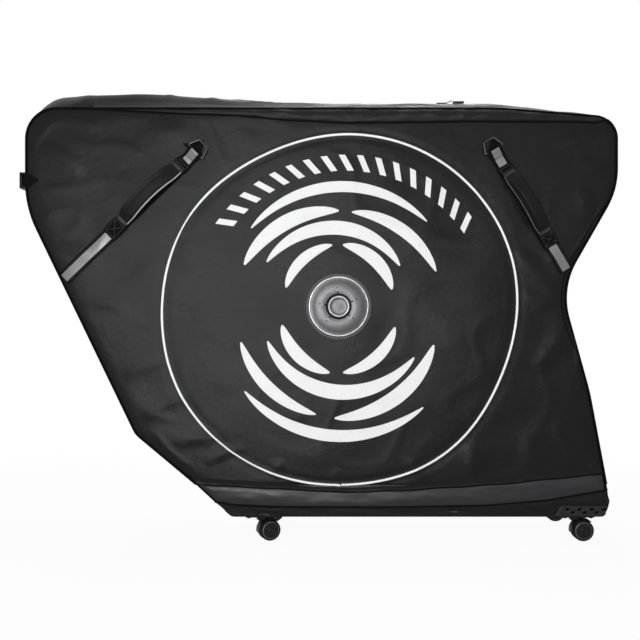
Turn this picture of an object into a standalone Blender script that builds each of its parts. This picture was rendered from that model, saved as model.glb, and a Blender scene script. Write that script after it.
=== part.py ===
"""A soft wheeled travel bag for one bicycle, in metres, +Z up.

+X points to the tail, the near half lies at -Y, and the origin is on the floor below the middle
of the bag. Two padded half shells are sewn to a stiff base along its long edges. They meet at a
zip over the nose, top and tail, and fold outwards. The base rolls on four swivelling casters with
twin wheels, and carries two rails with a fork mount, a pad and a rear stand.
"""

import math

import bmesh
import bpy
from mathutils import Matrix, Vector

# Fits, shared by every piece
fit_gap = 0.0003  # between pieces that touch
cut_overrun = 0.010  # how far a cutter runs past what it cuts

# Bag outline, at the seam of a side panel
seam_length = 1.182
seam_top = 0.871
half_width = 0.135  # centre plane to a side panel's outer face
outline_arc_step = math.radians(12)
soft_edge_angle = math.radians(40)  # edges blunter than this shade smooth
hard_edge_angle = math.radians(30)
outline_shares = (
    # along the length from the nose, up from the base's top, corner radius over the height
    (0.288, 0.000, 0.00),
    (0.186, 0.134, 0.05),
    (0.000, 0.739, 0.29),
    (0.000, 1.000, 0.08),
    (0.800, 1.000, 0.60),
    (1.000, 0.975, 0.06),
    (1.000, 0.785, 0.21),
    (0.904, 0.522, 0.20),
    (0.953, 0.243, 0.50),
    (0.982, 0.000, 0.00),
)
nose_corner = 3  # places in outline_shares
tail_corner = 5
most_fillet_share = 0.48  # of the shorter edge beside a corner

# Half shells
panel_thickness = 0.006
gusset_thickness = 0.004
top_crown = 0.045  # how far the gusset stands out at the zip, above the seam
side_crown = 0.012
crown_fade = 0.150  # the crown runs out over this length above the base
gusset_end_trim = 0.0015
gusset_station_shares = (0.0, 0.35, 0.70, 1.0)  # from the seam to the zip

# Wheel pockets, one sewn inside each side panel
pocket_radius = 0.335
pocket_wall = 0.003
pocket_depth = 0.040
pocket_centre_shares = (0.541, 0.455)  # of the seam length from the nose, and of its height
pocket_mouth_share = 0.50  # mouth's height over the centre, of the radius
pocket_steps = 26

# Hub guards, on the outside of the side panels
guard_radius = 0.066
guard_dome_height = 0.011
guard_boss_height = 0.013
guard_boss_radius = 0.021
guard_steps = 32
guard_centre_shares = (0.529, 0.472)
guard_dome_shares = ((1.00, 0.55), (0.93, 0.80), (0.70, 1.00), (0.40, 0.85))  # radius and height
guard_boss_shares = ((1.05, 0.37), (0.82, 0.37), (0.76, 0.92), (0.60, 1.00))

# Carry straps, each with two raised ends for a grip and a loop for a ring
strap_width = 0.030
strap_thickness = 0.0025
strap_tab_length = 0.012
strap_tab_height = 0.0125
strap_loop_length = 0.011
front_strap_shares = ((0.068, 0.552), (0.291, 0.888))  # lower and upper end on the panel
rear_strap_shares = ((0.912, 0.576), (0.789, 0.894))
front_grip_shares = (0.391, 0.898)  # along the strap, outer faces of its two tabs
rear_grip_shares = (0.239, 0.836)

# Padded grips
grip_width = 0.036
grip_thickness = 0.012
grip_neck_width = 0.012
grip_neck_thickness = 0.006
grip_rise = 0.022
grip_steps = 14
grip_neck_share = 0.30  # of the grip's length, over which it widens
grip_arch_power = 0.8
grip_turn_rise = 0.0015  # of its turning line over the middle of its tabs' free height
grip_section_shares = (
    # across and out, of half its width and half its thickness
    (-1.0, -0.5),
    (-0.7, -1.0),
    (0.7, -1.0),
    (1.0, -0.5),
    (1.0, 0.5),
    (0.7, 1.0),
    (-0.7, 1.0),
    (-1.0, 0.5),
)

# Rings
ring_wire_radius = 0.002
ring_wire_sides = 8
ring_side_reach = 0.0055  # of the bar past the strap on each side
ring_reach = 0.022
ring_bow_share = 0.55
ring_bar_corner_radius = 0.003
ring_bow_corner_radius = 0.009
ring_arc_step = math.radians(30)
ring_hole_gap = 0.0004

# Base
base_side_reach = 0.003  # past the side panels
base_top = 0.118
wall_top = 0.080
base_bottom = 0.054
floor_thickness = 0.011
base_wall = 0.003
base_corner_radius = 0.010
base_corner_steps = 5
base_front_slope = 1.083  # how fast the front runs back as it goes down
base_rear_kick = 0.005  # how far the tail stands out at the wall's top
base_rear_tuck = 0.004  # and draws in again at its bottom
guard_strip_thickness = 0.0025
guard_strip_length = 0.104  # from the tail along each side
guard_strip_low = 0.002  # above the base's bottom
guard_strip_high = 0.002  # below the wall's top

# Casters
caster_front_inset = 0.061  # swivel axes, in from the base's bottom
caster_rear_inset = 0.050
caster_side_inset = 0.033
caster_front_near_yaw = math.radians(20)
caster_plate_length = 0.064
caster_plate_width = 0.050
caster_plate_thickness = 0.003
caster_trail = 0.014
wheel_radius = 0.0215
wheel_width = 0.0095
wheel_edge = 0.002
wheel_cap = 0.0015
wheel_steps = 24
axle_radius = 0.0028
axle_sides = 16
web_thickness = 0.006
wheel_side_gap = 0.0005
fender_gap = 0.0013  # over the wheels
fender_thickness = 0.002
fender_start = math.radians(50)
fender_end = math.radians(190)
fender_steps = 9
web_foot_half = 0.009
web_foot_height = 0.014
boss_radius = 0.011
boss_low_gap = 0.0005  # over the wheels' tops

# Rails and what they carry
rail_size = 0.020
rail_y = 0.030
rail_front_inset = 0.037  # in from the base's front and rear, at the floor's top
rail_rear_inset = 0.096
carriage_half_length = 0.030
carriage_height = 0.010
post_half_length = 0.015
fork_from_rail_front = 0.090
fork_post_top = 0.235
fork_side_clearance = 0.0427  # to the wheel pockets
fork_skewer_drop = 0.030  # below the post's top
stand_from_rail_rear = 0.140
stand_post_top = 0.220
stand_side_clearance = 0.0387
stand_skewer_drop = 0.026
skewer_radius = 0.0045
skewer_sides = 16
skewer_reach = 0.014  # past the post on each side
skewer_head_radius = 0.010
skewer_head_length = 0.006
knob_radius = 0.016
knob_length = 0.016
knob_edge = 0.002
knob_steps = 20
pad_share = 0.475  # of the way from the fork mount to the rear stand
pad_half_length = 0.050
pad_half_width = 0.042
pad_height = 0.040
pad_edge = 0.006

# Zip slider and pull
slider_share = 0.749  # along the seam length from the nose
slider_half_length = 0.012
slider_half_width = 0.008
slider_height = 0.008
slider_far_clearance = 0.0018
pull_length = 0.034
pull_half_width = 0.004
pull_thickness = 0.002
pull_axis_over_slider = 0.0005
pull_round_steps = 6

# Nose buckle
buckle_z = 0.727
buckle_depth = 0.0117
buckle_height = 0.032
buckle_length = 0.030
tongue_length = 0.004
tongue_clearance = 0.0013
tongue_side_wall = 0.0022
cavity_end_gap = 0.0015

# Sizes worked out from those above
base_half_width = half_width + base_side_reach
hinge_z = base_top + fit_gap
hinge_y = base_half_width
seam_height = seam_top - hinge_z
nose_reach = side_crown + fit_gap + buckle_depth
nose_x = (nose_reach - seam_length - side_crown) / 2
panel_inner_y = half_width - panel_thickness
pocket_inner_y = panel_inner_y - fit_gap - pocket_depth
fork_half_width = pocket_inner_y - fork_side_clearance
stand_half_width = pocket_inner_y - stand_side_clearance
floor_top = base_bottom + floor_thickness
rail_bottom = floor_top + fit_gap
rail_top = rail_bottom + rail_size
carriage_bottom = rail_top + fit_gap
ridge_z = seam_top + top_crown
ring_half_width = strap_width / 2 + ring_side_reach
slider_x = nose_x + slider_share * seam_length


def clear_scene():
    for old in list(bpy.data.objects):
        bpy.data.objects.remove(old)


def make_material(name, colour, roughness, metallic=0.0):
    made = bpy.data.materials.new(name)
    made.use_nodes = True
    shader = made.node_tree.nodes["Principled BSDF"]
    shader.inputs["Base Color"].default_value = (*colour, 1.0)
    shader.inputs["Roughness"].default_value = roughness
    shader.inputs["Metallic"].default_value = metallic
    return made


class Body:
    """An empty on a joint's axis, which carries the pieces that move together."""

    def __init__(self, name, matrix, parent=None):
        self.matrix = matrix
        self.empty = bpy.data.objects.new(name + "_axis", None)
        bpy.context.scene.collection.objects.link(self.empty)
        if parent is None:
            self.empty.matrix_basis = matrix
        else:
            self.empty.parent = parent.empty
            self.empty.matrix_basis = parent.matrix.inverted() @ matrix


def add_mesh(name, shape):
    points, faces = shape
    mesh = bpy.data.meshes.new(name)
    mesh.from_pydata([tuple(point) for point in points], [], faces)
    work = bmesh.new()
    work.from_mesh(mesh)
    bmesh.ops.recalc_face_normals(work, faces=work.faces)
    work.to_mesh(mesh)
    work.free()
    return mesh


def add_piece(name, shape, material, body, frame=None, smooth=None):
    """Adds a piece. Its points are in the frame given, or in the bag's own with no frame."""
    points, faces = shape
    if frame is None:
        back = body.matrix.inverted()
        points = [back @ Vector(point) for point in points]
        frame = body.matrix
    mesh = add_mesh(name, (points, faces))
    mesh.materials.append(material)
    if smooth is not None:
        mesh.shade_smooth()
        mesh.set_sharp_from_angle(angle=smooth)
    piece = bpy.data.objects.new(name, mesh)
    bpy.context.scene.collection.objects.link(piece)
    piece.parent = body.empty
    piece.matrix_basis = body.matrix.inverted() @ frame
    return piece


def add_tool(name, shape, piece):
    """A hidden solid beside a piece, in the piece's own frame."""
    tool = bpy.data.objects.new(name, add_mesh(name, shape))
    bpy.context.scene.collection.objects.link(tool)
    tool.parent = piece.parent
    tool.matrix_basis = piece.matrix_basis
    tool.hide_render = True
    tool.display_type = "WIRE"
    return tool


def combine(piece, shape, operation):
    name = f"{operation.lower()}_{len(piece.modifiers)}"
    tool = add_tool(f"{piece.name}_{name}", shape, piece)
    modifier = piece.modifiers.new(name, "BOOLEAN")
    modifier.operation = operation
    modifier.solver = "EXACT"
    modifier.object = tool


def loft(rings, joined=False):
    """Skins rings of equal count. The ends are capped, or joined to each other."""
    count = len(rings[0])
    points = [point for ring in rings for point in ring]
    faces = []
    spans = len(rings) if joined else len(rings) - 1
    for i in range(spans):
        here = i * count
        there = ((i + 1) % len(rings)) * count
        for j in range(count):
            k = (j + 1) % count
            faces.append((here + j, here + k, there + k, there + j))
    if not joined:
        faces.append(tuple(range(count)))
        faces.append(tuple(range(len(points) - count, len(points))))
    return points, faces


def turned(profile, steps, across_flats=False):
    """A solid turned about Y from (radius, y) points. Zero radii are on the axis."""
    grow = 1 / math.cos(math.pi / steps) if across_flats else 1
    angles = [2 * math.pi * (i + 0.5) / steps for i in range(steps)]
    points = []
    rows = []
    for radius, y in profile:
        if radius == 0:
            rows.append([len(points)] * steps)
            points.append((0, y, 0))
            continue
        rows.append([len(points) + i for i in range(steps)])
        for angle in angles:
            points.append((radius * grow * math.sin(angle), y, radius * grow * math.cos(angle)))
    faces = []
    for row, following in zip(rows, rows[1:] + rows[:1]):
        for i in range(steps):
            k = (i + 1) % steps
            corners = []
            for corner in (row[i], row[k], following[k], following[i]):
                if corner not in corners:
                    corners.append(corner)
            if len(corners) > 2:
                faces.append(tuple(corners))
    return points, faces


def prism_y(outline, y_from, y_to):
    """Extrudes an outline of (x, z) points along Y."""
    return loft([[(x, y, z) for x, z in outline] for y in (y_from, y_to)])


def block(low, high):
    x_low, y_low, z_low = low
    x_high, y_high, z_high = high
    corners = ((x_low, z_low), (x_high, z_low), (x_high, z_high), (x_low, z_high))
    return prism_y(corners, y_low, y_high)


def rounded(corners, arc_step, closed):
    """(x, z, radius) corners made into points, and the places where each corner starts and ends."""
    points = []
    spans = []
    last = len(corners) - 1
    for i, (x, z, radius) in enumerate(corners):
        here = Vector((x, z))
        if radius == 0 or (not closed and i in (0, last)):
            spans.append((len(points), len(points)))
            points.append(here)
            continue
        before = Vector(corners[i - 1][:2]) - here
        after = Vector(corners[(i + 1) % len(corners)][:2]) - here
        shortest = min(before.length, after.length)
        turn = math.pi - before.angle(after)
        tangent = min(radius * math.tan(turn / 2), most_fillet_share * shortest)
        real_radius = tangent / math.tan(turn / 2)
        middle = (before.normalized() + after.normalized()).normalized()
        centre = here + middle * (real_radius / math.cos(turn / 2))
        start = here + before.normalized() * tangent - centre
        steps = max(2, math.ceil(turn / arc_step))
        sign = 1 if start.y * before.x - start.x * before.y > 0 else -1
        first = len(points)
        for step in range(steps + 1):
            angle = sign * turn * step / steps
            cosine = math.cos(angle)
            sine = math.sin(angle)
            spoke = Vector((start.x * cosine - start.y * sine, start.x * sine + start.y * cosine))
            points.append(centre + spoke)
        spans.append((first, len(points) - 1))
    return points, spans


def on_panel(shares):
    """The (x, z) place on a side panel at these shares of its length and height."""
    return nose_x + shares[0] * seam_length, hinge_z + shares[1] * seam_height


class SeamPath:
    """The bag's outline from the base's front over nose, top and tail to its rear."""

    def __init__(self):
        corners = []
        for along, up, radius in outline_shares:
            corners.append((*on_panel((along, up)), radius * seam_height))
        self.points, self.spans = rounded(corners, outline_arc_step, closed=False)
        self.lengths = [0.0]
        for here, there in zip(self.points, self.points[1:]):
            self.lengths.append(self.lengths[-1] + (there - here).length)
        self.total = self.lengths[-1]
        self.normals = []
        for i in range(len(self.points)):
            before = self.points[max(i - 1, 0)]
            after = self.points[min(i + 1, len(self.points) - 1)]
            along = (after - before).normalized()
            self.normals.append(Vector((-along.y, along.x)))

    def crown(self, length, normal):
        """How far the gusset stands out at the zip, at this length along the path."""
        fade = min(length, self.total - length, crown_fade) / crown_fade
        fade = fade * fade * (3 - 2 * fade)
        return fade * (side_crown + (top_crown - side_crown) * max(normal.y, 0) ** 2)

    def stations(self, start, end):
        """(point, outward normal, crown) from one length along the path to another."""
        marks = [start] + [mark for mark in self.lengths if start < mark < end] + [end]
        found = []
        for mark in marks:
            i = 0
            while i < len(self.lengths) - 2 and self.lengths[i + 1] < mark:
                i += 1
            share = (mark - self.lengths[i]) / (self.lengths[i + 1] - self.lengths[i])
            point = self.points[i].lerp(self.points[i + 1], share)
            normal = self.normals[i].lerp(self.normals[i + 1], share).normalized()
            found.append((point, normal, self.crown(mark, normal)))
        return found


def gusset(path, start, end, side):
    """A half's strip of gusset along part of the path, domed out from the seam to the zip."""
    seam_y = panel_inner_y - fit_gap
    zip_y = fit_gap / 2
    rings = []
    for point, normal, crown in path.stations(start, end):
        outer = []
        inner = []
        for share in gusset_station_shares:
            y = seam_y + (zip_y - seam_y) * share
            out = crown * (1 - (y / seam_y) ** 2)
            top = point + normal * out
            under = point + normal * (out - gusset_thickness)
            outer.append((top.x, side * y, top.y))
            inner.append((under.x, side * y, under.y))
        rings.append(outer + inner[::-1])
    return loft(rings)


def panel(path, side):
    outline = [(point.x, point.y) for point in path.points]
    return prism_y(outline, side * half_width, side * panel_inner_y)


def pocket_outline(inset, mouth_extra):
    """The (x, z) outline of a round pocket with a level mouth."""
    centre_x, centre_z = on_panel(pocket_centre_shares)
    radius = pocket_radius - inset
    mouth = math.asin(pocket_mouth_share * pocket_radius / radius)
    outline = []
    for step in range(pocket_steps + 1):
        angle = mouth - (math.pi + 2 * mouth) * step / pocket_steps
        outline.append((centre_x + radius * math.cos(angle), centre_z + radius * math.sin(angle)))
    if mouth_extra:
        left = outline[-1]
        right = outline[0]
        outline += [(left[0], left[1] + mouth_extra), (right[0], right[1] + mouth_extra)]
    return outline


def add_pocket(name, side, material, body):
    panel_side = panel_inner_y - fit_gap
    inner_side = panel_side - pocket_depth
    solid = prism_y(pocket_outline(0, 0), side * panel_side, side * inner_side)
    piece = add_piece(name, solid, material, body)
    hollow = prism_y(
        pocket_outline(pocket_wall, cut_overrun),
        side * (panel_side + cut_overrun),
        side * (inner_side + pocket_wall),
    )
    back = body.matrix.inverted()
    combine(piece, ([back @ Vector(point) for point in hollow[0]], hollow[1]), "DIFFERENCE")


def panel_frame(x, z, along, side):
    """A frame on a side panel's face: X runs along the given (x, z) way, Z points outwards."""
    out = Vector((0, side, 0))
    way = Vector((along[0], 0, along[1])).normalized()
    across = out.cross(way)
    frame = Matrix((way, across, out)).transposed().to_4x4()
    frame.translation = Vector((x, side * half_width, z))
    return frame


def add_hub_guard(name, side, material, body):
    centre_x, centre_z = on_panel(guard_centre_shares)
    profile = [(0, side * fit_gap), (guard_radius, side * fit_gap)]
    for out, up in guard_dome_shares:
        profile.append((guard_radius * out, side * guard_dome_height * up))
    for out, up in guard_boss_shares:
        profile.append((guard_boss_radius * out, side * guard_boss_height * up))
    profile.append((0, side * guard_boss_height))
    frame = Matrix.Translation((centre_x, side * half_width, centre_z))
    add_piece(name, turned(profile, guard_steps), material, body, frame, soft_edge_angle)


def prism_across(profile, half):
    """Extrudes a profile of (along, out) points across a strap."""
    return loft([[(along, across, out) for along, out in profile] for across in (-half, half)])


def strap_length(shares):
    (low_x, low_z), (high_x, high_z) = on_panel(shares[0]), on_panel(shares[1])
    return math.hypot(high_x - low_x, high_z - low_z)


def strap_frame(shares, side):
    low = on_panel(shares[0])
    high = on_panel(shares[1])
    return panel_frame(*low, (high[0] - low[0], high[1] - low[1]), side)


def ring_bar(length):
    """The (along, out) place of a ring's bar in its strap's loop."""
    out = fit_gap + strap_thickness + ring_wire_radius + ring_hole_gap
    return length - strap_loop_length / 2, out


def hole_across(along, out, radius, half, sides):
    ring = []
    for i in range(sides):
        angle = 2 * math.pi * (i + 0.5) / sides
        ring.append((along + radius * math.cos(angle), out + radius * math.sin(angle)))
    return prism_across(ring, half)


def add_strap(name, shares, grip_shares, side, material, body):
    length = strap_length(shares)
    top = fit_gap + strap_thickness
    bar_along, bar_out = ring_bar(length)
    loop_top = bar_out + ring_wire_radius + ring_hole_gap + strap_thickness
    loop_start = length - strap_loop_length
    profile = [(0, fit_gap), (length, fit_gap), (length, loop_top)]
    profile += [(loop_start, loop_top), (loop_start, top)]
    low, high = grip_shares
    for start in (high * length - strap_tab_length, low * length):
        end = start + strap_tab_length
        profile += [(end, top), (end, strap_tab_height), (start, strap_tab_height), (start, top)]
    profile.append((0, top))
    frame = strap_frame(shares, side)
    piece = add_piece(name, prism_across(profile, strap_width / 2), material, body, frame)
    hole_radius = (ring_wire_radius + ring_hole_gap) / math.cos(math.pi / ring_wire_sides)
    half = strap_width / 2 + cut_overrun
    combine(piece, hole_across(bar_along, bar_out, hole_radius, half, ring_wire_sides), "DIFFERENCE")


def smooth_step(share):
    share = min(max(share, 0), 1)
    return share * share * (3 - 2 * share)


def grip_height():
    """Height of a grip's turning line over the panel, in the middle of its tabs' free height."""
    return (fit_gap + strap_thickness + strap_tab_height) / 2 + grip_turn_rise


def grip(length):
    """An arched padded grip along X from 0 to its length, about its turning line."""
    rings = []
    for step in range(grip_steps + 1):
        share = step / grip_steps
        from_end = min(share, 1 - share)
        full = smooth_step(from_end / grip_neck_share)
        half = (grip_neck_width + (grip_width - grip_neck_width) * full) / 2
        thick = (grip_neck_thickness + (grip_thickness - grip_neck_thickness) * full) / 2
        middle = grip_rise * max(math.sin(math.pi * share), 0) ** grip_arch_power
        ring = []
        for across, out in grip_section_shares:
            ring.append((length * share, half * across, middle + thick * out))
        rings.append(ring)
    return loft(rings)


def add_grip(name, shares, grip_shares, side, material, shell):
    low, high = grip_shares
    start = low * strap_length(shares) + strap_tab_length + fit_gap
    length = high * strap_length(shares) - strap_tab_length - fit_gap - start
    frame = strap_frame(shares, side) @ Matrix.Translation((start, 0, grip_height()))
    body = Body(name, frame, shell)
    add_piece(name, grip(length), material, body, frame, soft_edge_angle)


def ring_shape():
    """A bent wire ring about the middle of its bar: the bar along Y, the bow towards +X."""
    bow = ring_half_width * ring_bow_share
    corners = (
        (0, -ring_half_width, ring_bar_corner_radius),
        (ring_reach, -bow, ring_bow_corner_radius),
        (ring_reach, bow, ring_bow_corner_radius),
        (0, ring_half_width, ring_bar_corner_radius),
    )
    path, _ = rounded(corners, ring_arc_step, closed=True)
    rings = []
    for i, point in enumerate(path):
        before = (point - path[i - 1]).normalized()
        after = (path[(i + 1) % len(path)] - point).normalized()
        along = (before + after).normalized()
        normal = Vector((along.y, -along.x)) / before.dot(along)
        ring = []
        for k in range(ring_wire_sides):
            angle = 2 * math.pi * (k + 0.5) / ring_wire_sides
            place = point + normal * ring_wire_radius * math.cos(angle)
            ring.append((place.x, place.y, ring_wire_radius * math.sin(angle)))
        rings.append(ring)
    return loft(rings, joined=True)


def add_ring(name, shares, side, material, shell):
    bar_along, bar_out = ring_bar(strap_length(shares))
    frame = strap_frame(shares, side) @ Matrix.Translation((bar_along, 0, bar_out))
    body = Body(name, frame, shell)
    add_piece(name, ring_shape(), material, body, frame, soft_edge_angle)


def yz_ring(y, x_low, x_high, z_low, z_high):
    return [(x_low, y, z_low), (x_high, y, z_low), (x_high, y, z_high), (x_low, y, z_high)]


def add_buckle(shells, materials):
    """A plug on the near half whose tongue enters a socket on the far half, across the nose."""
    x_high = nose_x - side_crown - fit_gap
    x_low = x_high - buckle_depth
    z_low = buckle_z - buckle_height / 2
    z_high = z_low + buckle_height
    seam = fit_gap / 2
    cavity = tongue_side_wall
    tongue = tongue_side_wall + tongue_clearance
    whole = (x_low, x_high, z_low, z_high)
    hollow = (x_low + cavity, x_high - cavity, z_low + cavity, z_high - cavity)
    inner = (x_low + tongue, x_high - tongue, z_low + tongue, z_high - tongue)
    plug = loft(
        [
            yz_ring(-buckle_length, *whole),
            yz_ring(-seam, *whole),
            yz_ring(-seam, *inner),
            yz_ring(tongue_length, *inner),
        ]
    )
    socket = loft(
        [
            yz_ring(buckle_length, *whole),
            yz_ring(seam, *whole),
            yz_ring(seam, *hollow),
            yz_ring(tongue_length + cavity_end_gap, *hollow),
        ]
    )
    add_piece("near_buckle_plug", plug, materials["plastic"], shells["near"])
    add_piece("far_buckle_socket", socket, materials["plastic"], shells["far"])


def add_shell(half, side, path, root, materials):
    """A half shell with what is sewn to it. It turns about the base's long edge."""
    shell = Body(half + "_shell", Matrix.Translation((0, side * hinge_y, hinge_z)), root)
    nose_end = path.lengths[path.spans[nose_corner][1]]
    tail_start = path.lengths[path.spans[tail_corner][0]]
    joint = fit_gap / 2
    stretches = {
        "nose": (gusset_end_trim, nose_end - joint),
        "top": (nose_end + joint, tail_start - joint),
        "tail": (tail_start + joint, path.total - gusset_end_trim),
    }
    add_piece(half + "_side_panel", panel(path, side), materials["oxford"], shell)
    for place, (start, end) in stretches.items():
        strip = gusset(path, start, end, side)
        name = f"{half}_{place}_gusset"
        add_piece(name, strip, materials["gusset"], shell, smooth=soft_edge_angle)
    add_pocket(half + "_wheel_pocket", side, materials["lining"], shell)
    add_hub_guard(half + "_hub_guard", side, materials["guard"], shell)
    for place, shares, grip_shares in (
        ("front", front_strap_shares, front_grip_shares),
        ("rear", rear_strap_shares, rear_grip_shares),
    ):
        add_strap(f"{half}_{place}_strap", shares, grip_shares, side, materials["webbing"], shell)
        add_grip(f"{half}_{place}_grip", shares, grip_shares, side, materials["padding"], shell)
        add_ring(f"{half}_{place}_ring", shares, side, materials["dark_metal"], shell)
    return shell


def base_front(z):
    return nose_x + outline_shares[0][0] * seam_length + (hinge_z - z) * base_front_slope


def base_rear(z):
    top = nose_x + outline_shares[-1][0] * seam_length
    if z >= wall_top:
        return top + base_rear_kick * (base_top - z) / (base_top - wall_top)
    drop = (wall_top - z) / (wall_top - base_bottom)
    return top + base_rear_kick - (base_rear_kick + base_rear_tuck) * drop


def plan_corner(x, y, x_sign, y_sign, radius, first_angle):
    centre_x = x - x_sign * radius
    centre_y = y - y_sign * radius
    points = []
    for step in range(base_corner_steps + 1):
        angle = first_angle + math.pi / 2 * step / base_corner_steps
        points.append((centre_x + radius * math.cos(angle), centre_y + radius * math.sin(angle)))
    return points


def base_ring(z, inset):
    """The base's rounded plan at a height, drawn in by an inset: points as (x, y, z)."""
    radius = base_corner_radius - inset
    half = base_half_width - inset
    front = base_front(z) + inset
    rear = base_rear(z) - inset
    plan = plan_corner(front, -half, -1, -1, radius, math.pi)
    plan += plan_corner(rear, -half, 1, -1, radius, math.pi * 3 / 2)
    plan += plan_corner(rear, half, 1, 1, radius, 0)
    plan += plan_corner(front, half, -1, 1, radius, math.pi / 2)
    return [(x, y, z) for x, y in plan]


def base_hoop(low, high):
    """The part of the base's wall between two heights."""
    outer = [base_ring(low, 0), base_ring(high, 0)]
    inner = [base_ring(high, base_wall), base_ring(low, base_wall)]
    return loft(outer + inner, joined=True)


def add_base(root, materials):
    """A covered board, a low wall round it and the coated band that the half shells meet."""
    floor = loft([base_ring(base_bottom, 0), base_ring(floor_top, 0)])
    add_piece("base_floor", floor, materials["board"], root)
    wall = base_hoop(floor_top + fit_gap, wall_top)
    add_piece("base_wall", wall, materials["oxford"], root)
    band = base_hoop(wall_top + fit_gap, base_top)
    add_piece("base_band", band, materials["coated"], root)


def add_rear_guard(root, materials):
    """A moulded scuff strip round the tail of the base."""
    low = base_bottom + guard_strip_low
    high = wall_top - guard_strip_high
    steps = base_corner_steps + 1
    rows = []
    for z, inset in (
        (low, -fit_gap),
        (high, -fit_gap),
        (high, -fit_gap - guard_strip_thickness),
        (low, -fit_gap - guard_strip_thickness),
    ):
        bend = base_ring(z, inset)[steps : 3 * steps]
        front = base_rear(z) - guard_strip_length
        half = base_half_width - inset
        rows.append([(front, -half, z)] + bend + [(front, half, z)])
    rings = [[row[i] for row in rows] for i in range(len(rows[0]))]
    add_piece("rear_guard", loft(rings), materials["plastic"], root, smooth=hard_edge_angle)


def wheel_profile(inner, outer, sign):
    """A wheel about Y with a blind bore from its inner side and a closed cap outside."""
    bore = axle_radius + fit_gap
    return [
        (bore, sign * inner),
        (wheel_radius - wheel_edge, sign * inner),
        (wheel_radius, sign * (inner + wheel_edge)),
        (wheel_radius, sign * (outer - wheel_edge)),
        (wheel_radius - wheel_edge, sign * outer),
        (0, sign * outer),
        (0, sign * (outer - wheel_cap)),
        (bore, sign * (outer - wheel_cap)),
    ]


def fender_arc(radius):
    """(x, z) points round the wheels' axis in a caster's own frame."""
    points = []
    for step in range(fender_steps + 1):
        angle = fender_start + (fender_end - fender_start) * step / fender_steps
        x = caster_trail + radius * math.cos(angle)
        points.append((x, wheel_radius + radius * math.sin(angle)))
    return points


def fender_shape():
    inner = wheel_radius + fender_gap
    half = web_thickness / 2 + wheel_side_gap + wheel_width
    rings = []
    for (x_in, z_in), (x_out, z_out) in zip(fender_arc(inner), fender_arc(inner + fender_thickness)):
        near = [(x_in, -half, z_in), (x_out, -half, z_out)]
        far = [(x_out, half, z_out), (x_in, half, z_in)]
        rings.append(near + far)
    return loft(rings)


def boss_shape():
    plate_bottom = base_bottom - fit_gap - caster_plate_thickness
    rings = []
    for z in (2 * wheel_radius + boss_low_gap, plate_bottom - fit_gap):
        ring = []
        for i in range(axle_sides):
            angle = 2 * math.pi * i / axle_sides
            ring.append((boss_radius * math.cos(angle), boss_radius * math.sin(angle), z))
        rings.append(ring)
    return loft(rings)


def rod(radius, half, steps, centre=(0, 0, 0)):
    """A round rod along Y, its flats at the radius, about a centre."""
    points, faces = turned([(0, -half), (radius, -half), (radius, half), (0, half)], steps, True)
    return [Vector(point) + Vector(centre) for point in points], faces


def add_caster_hood(name, frame, body, material):
    """The swivelling hood: a web between the wheels, a fender over them and a boss on top."""
    web = fender_arc(wheel_radius + fender_gap + fender_thickness / 2)
    web.append((caster_trail - web_foot_half, web_foot_height))
    web.append((caster_trail + web_foot_half, web_foot_height))
    half_web = web_thickness / 2
    shape = prism_y(web, -half_web, half_web)
    piece = add_piece(name, shape, material, body, frame, hard_edge_angle)
    combine(piece, fender_shape(), "UNION")
    combine(piece, boss_shape(), "UNION")
    centre = (caster_trail, 0, wheel_radius)
    hole = rod(axle_radius + fit_gap, half_web + cut_overrun, axle_sides, centre)
    combine(piece, hole, "DIFFERENCE")


def add_caster(place, x, y, yaw, root, materials):
    """A plate on the base, a hood that swivels below it, and twin wheels on one axle."""
    outward = 1 if y > 0 else -1
    plate_top = base_bottom - fit_gap
    plate = block(
        (x - caster_plate_length / 2, y - caster_plate_width / 2, plate_top - caster_plate_thickness),
        (x + caster_plate_length / 2, y + caster_plate_width / 2, plate_top),
    )
    add_piece(f"caster_plate_{place}", plate, materials["plastic"], root)
    frame = Matrix.Translation((x, y, 0)) @ Matrix.Rotation(yaw, 4, "Z")
    swivel = Body(f"caster_{place}", frame, root)
    add_caster_hood(f"caster_hood_{place}", frame, swivel, materials["plastic"])
    centre = frame @ Matrix.Translation((caster_trail, 0, wheel_radius))
    inner = web_thickness / 2 + wheel_side_gap
    outer = inner + wheel_width
    axle_end = outer - wheel_cap - fit_gap
    axle = rod(axle_radius, axle_end, axle_sides)
    steel = materials["bright_metal"]
    add_piece(f"caster_axle_{place}", axle, steel, swivel, centre, soft_edge_angle)
    for name, sign in (("outer", outward), ("inner", -outward)):
        spin = Body(f"wheel_{name}_{place}", centre, swivel)
        shape = turned(wheel_profile(inner, outer, sign), wheel_steps, True)
        add_piece(f"wheel_{name}_{place}", shape, materials["tyre"], spin, centre, soft_edge_angle)


def rail_front():
    return base_front(floor_top) + rail_front_inset


def rail_rear():
    return base_rear(floor_top) - rail_rear_inset


def fork_x():
    return rail_front() + fork_from_rail_front


def stand_x():
    return rail_rear() - stand_from_rail_rear


def add_rails(root, materials):
    for name, side in (("rail_near", -1), ("rail_far", 1)):
        y = side * rail_y
        low = (rail_front(), y - rail_size / 2, rail_bottom)
        high = (rail_rear(), y + rail_size / 2, rail_top)
        add_piece(name, block(low, high), materials["aluminium"], root)


def add_pad(root, materials):
    """A foam block on the rails, chamfered round its flat top."""
    x = fork_x() + pad_share * (stand_x() - fork_x())
    top = carriage_bottom + pad_height
    rings = []
    for z, inset in ((carriage_bottom, 0), (top - pad_edge, 0), (top, pad_edge)):
        x_half = pad_half_length - inset
        y_half = pad_half_width - inset
        near = [(x - x_half, -y_half, z), (x + x_half, -y_half, z)]
        far = [(x + x_half, y_half, z), (x - x_half, y_half, z)]
        rings.append(near + far)
    add_piece("bb_pad", loft(rings), materials["foam"], root)


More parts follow.
